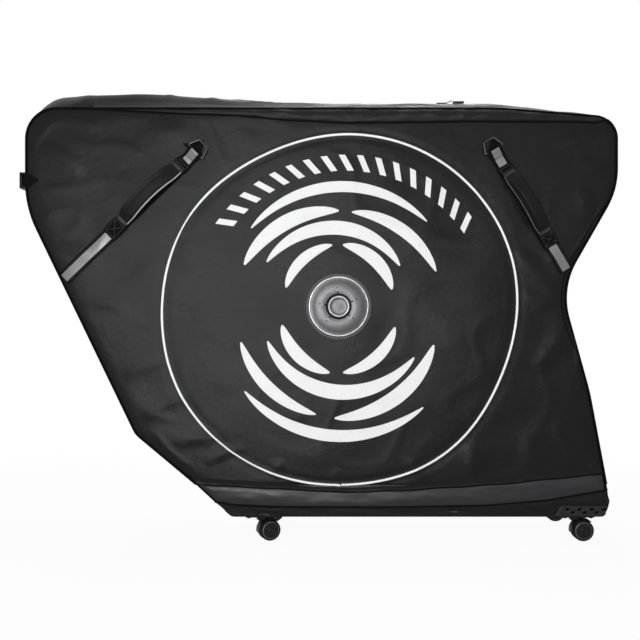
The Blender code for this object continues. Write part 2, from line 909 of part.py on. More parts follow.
def add_carriage(name, body, x, top, half_width_y, skewer_drop, material):
    """A carriage on the rails with a post, cross-drilled for its skewer."""
    foot_top = carriage_bottom + carriage_height
    outline = (
        (x - carriage_half_length, carriage_bottom),
        (x + carriage_half_length, carriage_bottom),
        (x + carriage_half_length, foot_top),
        (x + post_half_length, foot_top),
        (x + post_half_length, top),
        (x - post_half_length, top),
        (x - post_half_length, foot_top),
        (x - carriage_half_length, foot_top),
    )
    piece = add_piece(name, prism_y(outline, -half_width_y, half_width_y), material, body)
    centre = body.matrix.inverted() @ Vector((x, 0, top - skewer_drop))
    hole = rod(skewer_radius + fit_gap, half_width_y + cut_overrun, skewer_sides, centre)
    combine(piece, hole, "DIFFERENCE")


def skewer_shape(half_width_y, near_head):
    """A rod along Y with a head at its far end, and at its near end if it has no knob."""
    end = half_width_y + skewer_reach
    head = end - skewer_head_length
    profile = [(0, end), (skewer_head_radius, end), (skewer_head_radius, head), (skewer_radius, head)]
    if near_head:
        profile += [(skewer_radius, -head), (skewer_head_radius, -head), (skewer_head_radius, -end)]
    else:
        profile.append((skewer_radius, -end))
    profile.append((0, -end))
    return turned(profile, skewer_sides, True)


def add_fork_mount(root, materials):
    x = fork_x()
    z = fork_post_top - fork_skewer_drop
    plastic = materials["plastic"]
    body = Body("fork_carriage", Matrix.Translation((x, 0, carriage_bottom)), root)
    add_carriage("fork_mount", body, x, fork_post_top, fork_half_width, fork_skewer_drop, plastic)
    frame = Matrix.Translation((x, 0, z))
    skewer = skewer_shape(fork_half_width, False)
    add_piece("fork_skewer", skewer, materials["bright_metal"], body, frame)
    start = fork_half_width + skewer_reach - skewer_head_length
    end = start + knob_length
    bore = skewer_radius + fit_gap
    bore_end = fork_half_width + skewer_reach + fit_gap
    knob = [
        (bore, -start),
        (knob_radius, -start),
        (knob_radius, knob_edge - end),
        (knob_radius - knob_edge, -end),
        (0, -end),
        (0, -bore_end),
        (bore, -bore_end),
    ]
    knob_body = Body("skewer_knob", frame, body)
    shape = turned(knob, knob_steps, True)
    add_piece("skewer_knob", shape, plastic, knob_body, frame, soft_edge_angle)


def add_rear_stand(root, materials):
    x = stand_x()
    z = stand_post_top - stand_skewer_drop
    plastic = materials["plastic"]
    body = Body("stand_carriage", Matrix.Translation((x, 0, carriage_bottom)), root)
    add_carriage("rear_stand", body, x, stand_post_top, stand_half_width, stand_skewer_drop, plastic)
    frame = Matrix.Translation((x, 0, z))
    skewer = skewer_shape(stand_half_width, True)
    add_piece("rear_skewer", skewer, materials["bright_metal"], body, frame)


def add_zip_slider(shell, materials):
    """A slider on the near half's edge of the zip, clear of the far half's, with a pull."""
    under = ridge_z + fit_gap
    over_far = under + slider_far_clearance
    top = ridge_z + slider_height
    profile = (
        (-slider_half_width, under),
        (0, under),
        (0, over_far),
        (slider_half_width, over_far),
        (slider_half_width, top),
        (-slider_half_width, top),
    )
    rings = []
    for x in (slider_x - slider_half_length, slider_x + slider_half_length):
        rings.append([(x, y, z) for y, z in profile])
    slider = Body("zip_slider", Matrix.Translation((slider_x, 0, ridge_z)), shell)
    add_piece("zip_slider", loft(rings), materials["bright_metal"], slider)
    half = pull_thickness / 2
    frame = Matrix.Translation(
        (slider_x - slider_half_length - fit_gap - half, 0, top + pull_axis_over_slider)
    )
    outline = [(-pull_length, half), (-pull_length, -half)]
    for step in range(pull_round_steps + 1):
        angle = math.pi * (step / pull_round_steps - 1 / 2)
        outline.append((half * math.cos(angle), half * math.sin(angle)))
    pull = Body("zip_pull", frame, slider)
    shape = prism_y(outline, -pull_half_width, pull_half_width)
    add_piece("zip_pull", shape, materials["bright_metal"], pull, frame)


def make_materials():
    return {
        "oxford": make_material("black_oxford", (0.020, 0.020, 0.022), 0.80),
        "gusset": make_material("black_gusset", (0.024, 0.024, 0.026), 0.75),
        "coated": make_material("coated_band", (0.060, 0.060, 0.066), 0.45),
        "lining": make_material("grey_lining", (0.150, 0.150, 0.160), 0.90),
        "guard": make_material("hub_guard", (0.450, 0.450, 0.460), 0.35, 0.8),
        "webbing": make_material("webbing", (0.015, 0.015, 0.016), 0.70),
        "padding": make_material("padded_grip", (0.012, 0.012, 0.013), 0.75),
        "plastic": make_material("black_plastic", (0.018, 0.018, 0.020), 0.45),
        "board": make_material("base_board", (0.050, 0.050, 0.050), 0.60),
        "foam": make_material("foam_pad", (0.080, 0.080, 0.085), 0.95),
        "tyre": make_material("wheel", (0.050, 0.050, 0.055), 0.55),
        "aluminium": make_material("aluminium_rail", (0.600, 0.610, 0.620), 0.40, 1.0),
        "bright_metal": make_material("bright_metal", (0.550, 0.550, 0.560), 0.30, 1.0),
        "dark_metal": make_material("dark_metal", (0.100, 0.100, 0.105), 0.35, 1.0),
    }


def build_bag():
    clear_scene()
    materials = make_materials()
    root = Body("base", Matrix.Identity(4))
    path = SeamPath()
    shells = {
        "near": add_shell("near", -1, path, root, materials),
        "far": add_shell("far", 1, path, root, materials),
    }
    add_buckle(shells, materials)
    add_zip_slider(shells["near"], materials)
    add_base(root, materials)
    add_rear_guard(root, materials)
    add_rails(root, materials)
    add_pad(root, materials)
    add_fork_mount(root, materials)
    add_rear_stand(root, materials)
    front = base_front(base_bottom) + caster_front_inset
    rear = base_rear(base_bottom) - caster_rear_inset
    side = base_half_width - caster_side_inset
    add_caster("front_near", front, -side, caster_front_near_yaw, root, materials)
    add_caster("front_far", front, side, 0, root, materials)
    add_caster("rear_near", rear, -side, 0, root, materials)
    add_caster("rear_far", rear, side, 0, root, materials)


build_bag()
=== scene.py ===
import math

import bmesh
import bpy
import numpy as np
from mathutils import Matrix, Vector


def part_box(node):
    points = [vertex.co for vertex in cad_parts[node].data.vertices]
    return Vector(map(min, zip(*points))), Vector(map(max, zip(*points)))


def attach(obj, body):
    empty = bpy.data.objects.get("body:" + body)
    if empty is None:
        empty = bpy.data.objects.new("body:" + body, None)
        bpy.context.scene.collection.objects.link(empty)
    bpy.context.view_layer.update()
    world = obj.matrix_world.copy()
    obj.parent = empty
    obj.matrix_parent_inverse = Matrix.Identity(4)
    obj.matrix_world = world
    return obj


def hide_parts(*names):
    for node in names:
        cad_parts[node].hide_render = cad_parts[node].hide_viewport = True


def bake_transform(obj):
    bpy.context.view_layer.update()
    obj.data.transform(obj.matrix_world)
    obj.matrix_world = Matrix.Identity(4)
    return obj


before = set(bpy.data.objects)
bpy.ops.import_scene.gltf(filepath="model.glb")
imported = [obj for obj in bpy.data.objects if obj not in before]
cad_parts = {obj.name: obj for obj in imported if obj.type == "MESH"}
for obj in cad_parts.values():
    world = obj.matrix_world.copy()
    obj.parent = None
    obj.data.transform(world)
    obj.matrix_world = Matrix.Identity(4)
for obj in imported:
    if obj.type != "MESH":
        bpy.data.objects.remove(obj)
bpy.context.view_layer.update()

SIDES = (("near", -1), ("far", 1))

# ---------------------------------------------------------------- sizes, as in the part's source
GAP = 0.0003
SEAM_LENGTH = 1.182
SEAM_TOP = 0.871
HALF_WIDTH = 0.135
PANEL_INNER = 0.129
OUTLINE = (
    # along and up as shares of the seam's length and height, and the corner's radius
    (0.288, 0.000, 0.00), (0.186, 0.134, 0.05), (0.000, 0.739, 0.29), (0.000, 1.000, 0.08),
    (0.800, 1.000, 0.60), (1.000, 0.975, 0.06), (1.000, 0.785, 0.21), (0.904, 0.522, 0.20),
    (0.953, 0.243, 0.50), (0.982, 0.000, 0.00),
)
TOP_CROWN = 0.045
SIDE_CROWN = 0.012
CROWN_FADE = 0.150
HINGE_Z = 0.1183
HINGE_Y = 0.138
SEAM_HEIGHT = SEAM_TOP - HINGE_Z
NOSE_X = -0.585
SEAM_Y = PANEL_INNER - GAP
RIDGE_Z = SEAM_TOP + TOP_CROWN
BASE_HALF = 0.138
BASE_BOTTOM = 0.054
FLOOR_TOP = 0.065
WALL_TOP = 0.080
BASE_TOP = 0.118


def on_panel(along, up):
    """x and z of a place given as shares of a side panel's length and height."""
    return np.array((NOSE_X + along * SEAM_LENGTH, HINGE_Z + up * SEAM_HEIGHT))


HUB = on_panel(0.529, 0.472)
POCKET = on_panel(0.541, 0.455)
ARC_STEP = math.radians(3)


# ---------------------------------------------------------------- numbers
def smooth(value, low, high):
    """From 0 at low to 1 at high, eased at both."""
    share = np.clip((value - low) / (high - low), 0, 1)
    return share * share * (3 - 2 * share)


def waves(u, v, size, seed, count=9):
    """Soft random relief, mostly between -1 and 1, with lumps of this size."""
    random = np.random.default_rng(seed)
    total = 0
    for _ in range(count):
        way = random.uniform(0, 2 * math.pi)
        pitch = 2 * math.pi / size * random.uniform(0.6, 1.4)
        start = random.uniform(0, 2 * math.pi)
        total = total + np.sin(pitch * (u * math.cos(way) + v * math.sin(way)) + start)
    return total / math.sqrt(count) * 0.8


def creases(u, v, size, seed):
    """Narrow soft ridges on broader hollows, as slack cloth makes them, between 0 and 1."""
    bent = waves(u, v, size * 2.2, seed + 1, 5) * 1.6
    return np.exp(-(np.sin(waves(u, v, size * 1.6, seed, 5) * 1.7 + bent) / 0.42) ** 2)


def fold(x, z, start, end, width, height):
    """One fold from a start to an end, which tapers towards both."""
    start = np.array(start)
    way = np.array(end) - start
    length = np.linalg.norm(way)
    way = way / length
    along = ((x - start[0]) * way[0] + (z - start[1]) * way[1]) / length
    across = (z - start[1]) * way[0] - (x - start[0]) * way[1]
    across = across - 0.06 * length * np.sin(along * 3.0)
    return height * humped(np.clip(along, 0, 1), 0.7) * np.exp(-(across / width) ** 2)


def humped(share, power):
    """A hump over shares from 0 to 1, steeper at its ends than a sine."""
    return np.clip(np.sin(share * math.pi), 0, 1) ** power


def squared(value, power):
    """A sine or cosine pushed outwards, so that a ring of them is a rounded box."""
    return np.sign(value) * np.abs(value) ** power


def run_of(path):
    """The length along a path up to each of its points."""
    return np.concatenate(([0], np.cumsum(np.linalg.norm(np.diff(path, axis=0), axis=1))))


def headings(path, closed=False):
    """The way along a path at each of its points."""
    ways = np.roll(path, -1, 0) - np.roll(path, 1, 0) if closed else np.gradient(path, axis=0)
    return ways / np.linalg.norm(ways, axis=1)[:, None]


def resample(points, step, closed=False):
    """A path with its points spaced evenly, as near to the step as its length allows."""
    points = np.array(points, float)
    if closed:
        points = np.vstack((points, points[:1]))
    lengths = run_of(points)
    marks = np.linspace(0, lengths[-1], max(2, round(lengths[-1] / step)) + 1)
    out = np.stack([np.interp(marks, lengths, points[:, i]) for i in range(points.shape[1])], 1)
    return out[:-1] if closed else out


def relaxed(loop, times):
    """A closed loop with its corners rounded off, more so with more times."""
    for _ in range(times):
        loop = (np.roll(loop, 1, 0) + loop * 2 + np.roll(loop, -1, 0)) / 4
    return loop


def rounded(corners):
    """The points of an open outline of (x, z, radius) corners."""
    points = []
    for i, (x, z, radius) in enumerate(corners):
        here = Vector((x, z))
        if radius == 0 or i in (0, len(corners) - 1):
            points.append(here)
            continue
        before = Vector(corners[i - 1][:2]) - here
        after = Vector(corners[i + 1][:2]) - here
        turn = math.pi - before.angle(after)
        tangent = min(radius * math.tan(turn / 2), 0.48 * min(before.length, after.length))
        real = tangent / math.tan(turn / 2)
        inward = (before.normalized() + after.normalized()).normalized()
        centre = here + inward * (real / math.cos(turn / 2))
        start = here + before.normalized() * tangent - centre
        sign = 1 if start.y * before.x - start.x * before.y > 0 else -1
        steps = max(2, math.ceil(turn / ARC_STEP))
        for step in range(steps + 1):
            points.append(centre + Matrix.Rotation(sign * turn * step / steps, 2) @ start)
    return points


TAIL_SAG = ((0.37, 0.50, 0.0050), (0.50, 0.59, 0.0070))  # from x to x, and how deep


class Seam:
    """The outline of a side panel, from the base's front over nose, top and tail to its rear."""

    def __init__(self, step):
        corners = [(*on_panel(a, u), r * SEAM_HEIGHT) for a, u, r in OUTLINE]
        self.points = resample([tuple(p) for p in rounded(corners)], step)
        ways = headings(self.points)
        self.normals = np.stack((-ways[:, 1], ways[:, 0]), 1)
        self.lengths = run_of(self.points)
        self.total = self.lengths[-1]
        x = self.points[:, 0]
        rise = np.clip(self.normals[:, 1], 0, None) ** 2
        fade = smooth(self.from_ends(), 0, CROWN_FADE)
        self.crown = fade * (SIDE_CROWN + (TOP_CROWN - SIDE_CROWN) * rise)
        # towards the tail the cloth of the top sags between its seams
        self.crown = self.crown - rise * sum(d * smooth(x, low, high) for low, high, d in TAIL_SAG)
        self.top = rise
        # how full the gusset's section is: boxy at the front of the top, slack behind
        full = 1.25 + 4.2 * smooth(x, -0.580, -0.430) * (1 - smooth(x, -0.40, -0.05))
        full = full + 1.5 * (1 - smooth(x, -0.585, -0.48))
        self.full = 2 + (full - 2) * rise

    def from_ends(self):
        return np.minimum(self.lengths, self.total - self.lengths)

    def at(self, marks):
        """x, z and the outward way's x and z, at lengths along the seam."""
        return [np.interp(marks, self.lengths, v) for v in (*self.points.T, *self.normals.T)]


seam = Seam(0.007)


def outline_distance(x, z):
    """How far each place is from the nose, top and tail seams."""
    batch = 4000
    flat = np.stack((np.ravel(x), np.ravel(z)), 1)
    nearest = np.zeros(len(flat))
    a, b = seam.points[:-1], seam.points[1:]
    for start in range(0, len(flat), batch):
        p = flat[start : start + batch, None, :]
        way = (b - a)[None]
        share = np.clip(((p - a) * way).sum(2) / (way * way).sum(2), 0, 1)
        gap = np.linalg.norm(p - (a + share[..., None] * way), axis=2)
        nearest[start : start + batch] = gap.min(1)
    return nearest.reshape(np.shape(x))


SLACK_FOLDS = (
    # start, end, width, height: pulls at the waist, the corners, the straps' ends and the base
    ((0.492, 0.5), (0.395, 0.59), 0.016, 0.0032), ((0.49, 0.48), (0.41, 0.5), 0.01, 0.0022),
    ((0.498, 0.53), (0.44, 0.65), 0.013, 0.0024), ((0.5, 0.44), (0.43, 0.35), 0.018, 0.003),
    ((0.545, 0.61), (0.47, 0.52), 0.012, 0.003), ((0.56, 0.64), (0.52, 0.72), 0.014, 0.0018),
    ((-0.56, 0.8), (-0.47, 0.74), 0.013, 0.002), ((-0.56, 0.85), (-0.44, 0.835), 0.011, 0.0016),
    ((-0.52, 0.6), (-0.44, 0.56), 0.014, 0.0018), ((-0.47, 0.48), (-0.38, 0.47), 0.012, 0.0016),
    ((-0.39, 0.33), (-0.3, 0.37), 0.016, 0.002), ((-0.35, 0.25), (-0.26, 0.3), 0.014, 0.0022),
    ((-0.29, 0.2), (-0.2, 0.21), 0.012, 0.0026), ((-0.23, 0.16), (-0.15, 0.19), 0.01, 0.0026),
    ((-0.1, 0.126), (-0.07, 0.165), 0.009, 0.002), ((0.03, 0.122), (0.045, 0.15), 0.008, 0.0016),
    ((0.21, 0.126), (0.18, 0.17), 0.01, 0.0022), ((0.33, 0.13), (0.3, 0.2), 0.013, 0.0024),
    ((0.43, 0.135), (0.42, 0.23), 0.014, 0.0022), ((0.53, 0.15), (0.47, 0.24), 0.013, 0.0022),
    ((0.56, 0.83), (0.47, 0.8), 0.014, 0.0018), ((0.58, 0.74), (0.52, 0.76), 0.012, 0.0014),
)
EDGE_FOLDS = (
    # the same, for the narrow folds beside the seams, which stay as high everywhere
    ((0.578, 0.698), (0.5, 0.572), 0.0045, 0.0026), ((0.503, 0.52), (0.512, 0.33), 0.005, 0.0022),
    ((0.5, 0.45), (0.52, 0.29), 0.004, 0.0014), ((-0.575, 0.79), (-0.52, 0.85), 0.005, 0.0016),
    ((0.54, 0.136), (0.566, 0.168), 0.006, 0.0018), ((-0.25, 0.15), (-0.33, 0.225), 0.006, 0.0016),
)
CALM = (
    # places under the straps' tabs and rings, where the cloth lies flat
    (-0.3972, 0.6368), (-0.2723, 0.7568), (-0.2366, 0.7908),
    (0.4552, 0.6142), (0.3746, 0.7469), (0.3445, 0.7963),
)


def panel_relief(x, z):
    """How far a side panel's face stands out past its flat solid."""
    edge, circle, above = outline_distance(x, z), circle_offset(x, z), z - HINGE_Z
    lift = -0.0042 * np.exp(-edge / 0.010) - 0.0010 * np.exp(-np.clip(above, 0, None) / 0.012)
    lift = lift - 0.0012 * np.exp(-((np.abs(circle) - 0.007) / 0.006) ** 2)
    slack = smooth(edge, 0.004, 0.05) * smooth(above, -0.02, 0.05)
    slack = slack * smooth(np.hypot(x - HUB[0], z - HUB[1]), 0.064, 0.110)
    for cx, cz in CALM:
        slack = slack * smooth(np.hypot(x - cx, z - cz), 0.018, 0.055)
    lift = lift + slack * (0.0011 * waves(x, z, 0.26, 3) + 0.0006 * waves(x, z, 0.11, 8))
    ridges = creases(x * 0.8, z, 0.10, 21)
    lift = lift + slack * 0.0009 * ridges * smooth(np.abs(circle), 0.01, 0.05)
    for start, end, width, height in SLACK_FOLDS:
        lift = lift + slack * fold(x, z, start, end, width, height * 1.15)
    for row in EDGE_FOLDS:
        lift = lift + fold(x, z, *row)
    return lift


CIRCLE_CENTRE = np.array((0.0555, 0.4615))
# the circle's radius in millimetres, every ten degrees
CIRCLE_REACH = 0.001 * np.array((
    341, 345, 349, 352, 354, 355, 356, 358, 357, 356, 355, 355, 357, 360, 364, 368, 371, 368,
    367, 370, 371, 368, 364, 360, 357, 352, 346, 344, 343.5, 343.5, 344, 342, 339, 336, 334, 337,
))
CIRCLE_TERMS = 8
CIRCLE_WAVES = np.fft.rfft(CIRCLE_REACH)[:CIRCLE_TERMS] / len(CIRCLE_REACH)


def circle_radius(angle):
    """The reflective seam round the wheel pocket, sewn a little out of round."""
    terms = CIRCLE_WAVES * np.exp(1j * np.arange(CIRCLE_TERMS) * np.asarray(angle)[..., None])
    return 2 * terms.sum(-1).real - CIRCLE_WAVES[0].real


def circle_offset(x, z):
    """How far outside the reflective seam each place is."""
    dx, dz = x - CIRCLE_CENTRE[0], z - CIRCLE_CENTRE[1]
    return np.hypot(dx, dz) - circle_radius(np.arctan2(dz, dx))


# ---------------------------------------------------------------- meshes: (points, faces, uv, part)
def grid_uv(u, v):
    return np.stack(np.broadcast_arrays(u, v), -1).reshape(-1, 2)


def quads(rows, columns, wrap_rows=False, wrap_columns=False):
    index = np.arange(rows * columns).reshape(rows, columns)
    if wrap_rows:
        index = np.vstack((index, index[:1]))
    if wrap_columns:
        index = np.hstack((index, index[:, :1]))
    corners = index[:-1, :-1], index[:-1, 1:], index[1:, 1:], index[1:, :-1]
    return np.stack(corners, -1).reshape(-1, 4)


def capped(rows, columns):
    """The faces of a column of rings, with a cap on its first and its last."""
    caps = [list(range(columns)), list(range((rows - 1) * columns, rows * columns))]
    return quads(rows, columns, wrap_columns=True).tolist() + caps


def joined(outer, inner, faces):
    """Points, faces and each face's part: 0 outside, 1 inside, 2 on an edge."""
    parts = np.concatenate([np.full(len(f), min(i, 2)) for i, f in enumerate(faces)])
    points = np.concatenate((outer.reshape(-1, 3), inner.reshape(-1, 3)))
    return points, np.concatenate(faces), parts


def skin(outer, inner):
    """A closed sheet between two grids of points."""
    rows, columns = outer.shape[:2]
    count = rows * columns
    top = quads(rows, columns)
    faces = [top, top[:, ::-1] + count]
    index = np.arange(count).reshape(rows, columns)
    for line in (index[:, 0], index[::-1, -1], index[0, ::-1], index[-1, :]):
        faces.append(np.stack((line[:-1], line[1:], line[1:] + count, line[:-1] + count), 1))
    return joined(outer, inner, faces)


def ring_sheet(outer, inner):
    """A closed sheet with a hole, between two grids whose rows go round and join up."""
    rows, wide = outer.shape[:2]
    narrow = inner.shape[1]
    count = rows * wide
    faces = [quads(rows, wide, wrap_rows=True), quads(rows, narrow, wrap_rows=True)[:, ::-1] + count]
    upper = np.arange(count).reshape(rows, wide)
    lower = np.arange(rows * narrow).reshape(rows, narrow) + count
    for column in (0, -1):
        a, b = (np.append(g[:, column], g[0, column]) for g in (upper, lower))
        faces.append(np.stack((a[:-1], a[1:], b[1:], b[:-1]), 1))
    return joined(outer, inner, faces)


def sheet(outer, inner, u, v, lined=False):
    """A closed sheet with its UV, and with a second finish inside where it is lined."""
    points, faces, parts = skin(outer, inner)
    uv = grid_uv(u, v)
    return (points, faces, np.vstack((uv, uv))) + ((parts == 1,) if lined else ())


def tube(path, radius, sides=8, closed=False, flatten=1.0, up=None):
    """A round tube along a path of 3-D points. The radius may vary."""
    path = np.asarray(path, float)
    count = len(path)
    radius = np.broadcast_to(radius, (count,))
    ways = headings(path, closed)
    side = np.zeros((count, 3))
    last = np.array((0, 1, 0), float)
    for i in range(count):
        if up is not None:
            last = np.array(up, float)
        last = last - ways[i] * last.dot(ways[i])
        last /= np.linalg.norm(last)
        side[i] = last
    other = np.cross(ways, side)
    angles = 2 * math.pi * np.arange(sides) / sides
    rings = (
        path[:, None]
        + radius[:, None, None] * flatten * np.cos(angles)[None, :, None] * side[:, None]
        + radius[:, None, None] * np.sin(angles)[None, :, None] * other[:, None]
    )
    faces = quads(count, sides, True, True).tolist() if closed else capped(count, sides)
    uv = grid_uv(run_of(path)[:, None], angles[None, :] * np.mean(radius))
    return rings.reshape(-1, 3), faces, uv


def turned(profile, steps, axis="y"):
    """A closed solid turned from (radius, height) points about an axis. U is 20 mm a radian."""
    profile = np.asarray(profile, float)
    angles = 2 * math.pi * np.arange(steps) / steps
    radius = profile[:, 0][:, None]
    height = np.broadcast_to(profile[:, 1][:, None], (len(profile), steps))
    a, b = radius * np.cos(angles), radius * np.sin(angles)
    points = np.stack((a, height, b) if axis == "y" else (a, b, height), -1).reshape(-1, 3)
    uv = grid_uv(angles[None, :] * 0.02, run_of(profile)[:, None])
    return points, capped(len(profile), steps), uv


def bevelled_box(low, high, bevel):
    work = bmesh.new()
    bmesh.ops.create_cube(work, size=1)
    low, high = Vector(low), Vector(high)
    for vertex in work.verts:
        offset = Vector([vertex.co[i] * (high[i] - low[i]) for i in range(3)])
        vertex.co = (low + high) / 2 + offset
    edges = list(work.edges)
    bmesh.ops.bevel(work, geom=edges, offset=bevel, segments=2, profile=0.5, affect="EDGES")
    work.verts.ensure_lookup_table()
    points = np.array([v.co for v in work.verts])
    faces = [[v.index for v in f.verts] for f in work.faces]
    work.free()
    return points, faces


def side_box(side, x, depth, z, bevel):
    """A box on one half, from its two ends along x, out from the middle plane, and up."""
    y = sorted((side * depth[0], side * depth[1]))
    return bevelled_box((x[0], y[0], z[0]), (x[1], y[1], z[1]), bevel)


def moved(shape, matrix):
    points = np.asarray(shape[0], float)
    matrix = np.array(matrix)
    return (points @ matrix[:3, :3].T + matrix[:3, 3], *shape[1:])


def merge(*shapes):
    """Joins shapes into one (points, faces, uv)."""
    points, faces, uvs, start = [], [], [], 0
    for shape in shapes:
        points.append(np.asarray(shape[0], float))
        faces += [[int(i) + start for i in face] for face in shape[1]]
        uvs.append(np.asarray(shape[2], float) if len(shape) > 2 else points[-1][:, (0, 2)])
        start += len(points[-1])
    return np.concatenate(points), faces, np.concatenate(uvs)


SHARP = math.radians(48)


def make_object(name, shape, materials, flat=False, period=None):
    """A mesh object. Where U goes round, its period mends the faces that cross the join."""
    points, faces, uv, part = (*shape, None, None)[:4]
    mesh = bpy.data.meshes.new(name)
    mesh.from_pydata(np.asarray(points, float).tolist(), [], [list(map(int, f)) for f in faces])
    for material in materials if isinstance(materials, tuple) else (materials,):
        mesh.materials.append(material)
    if part is not None:
        mesh.polygons.foreach_set("material_index", np.asarray(part, np.int32))
    if uv is not None:
        loops = np.zeros(len(mesh.loops), np.int32)
        mesh.loops.foreach_get("vertex_index", loops)
        coords = np.asarray(uv, float)[loops]
        for face in mesh.polygons if period else ():
            span = slice(face.loop_start, face.loop_start + face.loop_total)
            if np.ptp(coords[span, 0]) > period / 2:
                coords[span, 0] += np.where(coords[span, 0] < period / 2, period, 0)
        layer = mesh.uv_layers.new(name="UVMap")
        layer.data.foreach_set("uv", coords.astype(np.float32).ravel())
    clean(mesh)
    if not flat:
        mesh.shade_smooth()
        mesh.set_sharp_from_angle(angle=SHARP)
    made = bpy.data.objects.new(name, mesh)
    bpy.context.scene.collection.objects.link(made)
    return made


def clean(mesh, weld=None):
    """Turns a mesh's faces outwards, after welding points closer than a distance."""
    work = bmesh.new()
    work.from_mesh(mesh)
    if weld:
        bmesh.ops.remove_doubles(work, verts=work.verts, dist=weld)
    bmesh.ops.recalc_face_normals(work, faces=work.faces)
    work.to_mesh(mesh)
    work.free()


def place(piece, body, slot, replaces=(), fill=None):
    if body:
        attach(piece, body)
    if replaces:
        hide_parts(*replaces)
    return piece


def add(name, shape, materials, body, slot, replaces=(), fill=None, **look):
    return place(make_object(name, shape, materials, **look), body, slot, replaces, fill)


def add_to_shell(half, name, shape, materials, slot, nodes=(), fill=None, **look):
    """A piece on a half shell. The nodes that it replaces are named without their half."""
    replaces = [f"{half}_{node}" for node in nodes]
    return add(f"{half}_{name}", shape, materials, f"{half}_shell", slot, replaces, fill, **look)


# ---------------------------------------------------------------- materials
class Finish:
    """One material and the few kinds of node that these finishes use."""

    def __init__(self, name, colour, roughness, metallic=0.0, specular=0.5, sheen=0.0):
        self.material = bpy.data.materials.new(name)
        self.material.use_nodes = True
        self.tree = self.material.node_tree
        self.shader = self.tree.nodes["Principled BSDF"]
        self.base = colour
        values = {
            "Base Color": (*colour, 1), "Roughness": roughness, "Metallic": metallic,
            "Specular IOR Level": specular, "Sheen Weight": sheen, "Sheen Roughness": 0.45,
        }
        for socket, value in values.items():
            self.shader.inputs[socket].default_value = value
        self.last_bump = None

    def node(self, kind, inputs=(), **settings):
        made = self.tree.nodes.new(kind)
        for key, value in settings.items():
            setattr(made, key, value)
        for key, value in dict(inputs).items():
            if hasattr(value, "is_linked"):
                self.tree.links.new(value, made.inputs[key])
            else:
                made.inputs[key].default_value = value
        return made

    def maths(self, operation, a, b=0.0):
        return self.node("ShaderNodeMath", {0: a, 1: b}, operation=operation).outputs[0]

    def times(self, a, b):
        return self.maths("MULTIPLY", a, b)

    def place(self, kind="UV", scale=(1, 1, 1)):
        inputs = {"Vector": self.node("ShaderNodeTexCoord").outputs[kind], "Scale": scale}
        return self.node("ShaderNodeMapping", inputs).outputs[0]

    def noise(self, place, scale=1.0, detail=3.0, rough=0.55, distort=0.0):
        inputs = {"Vector": place, "Scale": scale, "Detail": detail, "Roughness": rough}
        return self.node("ShaderNodeTexNoise", {**inputs, "Distortion": distort}).outputs[0]

    def cells(self, place, size):
        """How far each point is from the middle of its cell."""
        return self.node("ShaderNodeTexVoronoi", {"Vector": place, "Scale": size}).outputs[0]

    def threads(self, detail):
        """Uneven yarn: noise stretched along the warp, and along the weft."""
        scales = (60, 1500, 1), (1500, 60, 1)
        return self.maths("ADD", *(self.noise(self.place(scale=s), 1.0, detail) for s in scales))

    def ripples(self, pitches):
        """A sine wave along U and one along V, each with its pitch in metres."""
        parts = self.node("ShaderNodeSeparateXYZ", {0: self.place()}).outputs
        pairs = zip(parts, pitches)
        return [self.maths("SINE", self.times(part, 2 * math.pi / p)) for part, p in pairs]

    def remap(self, value, low, high, to_low, to_high):
        inputs = {"Value": value, 1: low, 2: high, 3: to_low, 4: to_high}
        return self.node("ShaderNodeMapRange", inputs).outputs[0]

    def tint(self, factor, low, high):
        """Colours the surface from a low to a high share of its base colour."""
        made = self.node("ShaderNodeMix", data_type="RGBA")
        self.tree.links.new(factor, made.inputs[0])
        for socket, share in ((made.inputs[6], low), (made.inputs[7], high)):
            socket.default_value = (*(min(1.0, c * share) for c in self.base), 1)
        self.tree.links.new(made.outputs[2], self.shader.inputs["Base Color"])

    def rough(self, value):
        self.tree.links.new(value, self.shader.inputs["Roughness"])

    def bump(self, height, distance, strength):
        inputs = {"Height": height, "Distance": distance, "Strength": strength}
        if self.last_bump:
            inputs["Normal"] = self.last_bump
        self.last_bump = self.node("ShaderNodeBump", inputs).outputs[0]
        self.tree.links.new(self.last_bump, self.shader.inputs["Normal"])


def fabric(name, colour, pitch, roughness, specular=0.4, sheen=0.0, relief=0.00006, spread=0.30,
           patch=7.0):
    """Plain weave with uneven threads and soft patches of wear. UV is in metres."""
    made = Finish(name, colour, roughness, specular=specular, sheen=sheen)
    weave = made.times(*made.ripples((pitch, pitch)))
    threads = made.threads(2.0)
    flat = made.place()
    wear = made.noise(flat, patch, 4.0, 0.6)
    tone = made.maths(
        "ADD", made.remap(threads, 0.7, 1.3, 0.0, 0.55), made.remap(wear, 0.3, 0.7, 0.0, 0.45)
    )
    made.tint(tone, 1 - spread, 1 + spread)
    made.rough(made.remap(wear, 0.3, 0.7, roughness + 0.06, roughness - 0.06))
    made.bump(made.noise(flat, 70.0, 3.0, 0.6), 0.0016, 0.35)
    made.bump(threads, 0.0001, 0.5)
    made.bump(weave, relief, 0.6)
    return made.material


def coated_fabric(name, colour, roughness):
    """A smooth coated cloth, faintly pebbled, with fine handling wrinkles and scuffs."""
    made = Finish(name, colour, roughness, specular=0.24)
    wrinkle = made.noise(made.place(scale=(0.30, 1.2, 1)), 16.0, 3.0, 0.45, 0.4)
    scuff = made.noise(made.place(scale=(6, 40, 1)), 6.0, 5.0, 0.7)
    made.tint(made.remap(scuff, 0.35, 0.72, 0, 1), 0.78, 1.25)
    made.rough(made.remap(scuff, 0.35, 0.7, roughness - 0.07, roughness + 0.1))
    made.bump(wrinkle, 0.0030, 0.40)
    made.bump(made.noise(made.place(), 900.0, 2.0), 0.0001, 0.4)
    return made.material


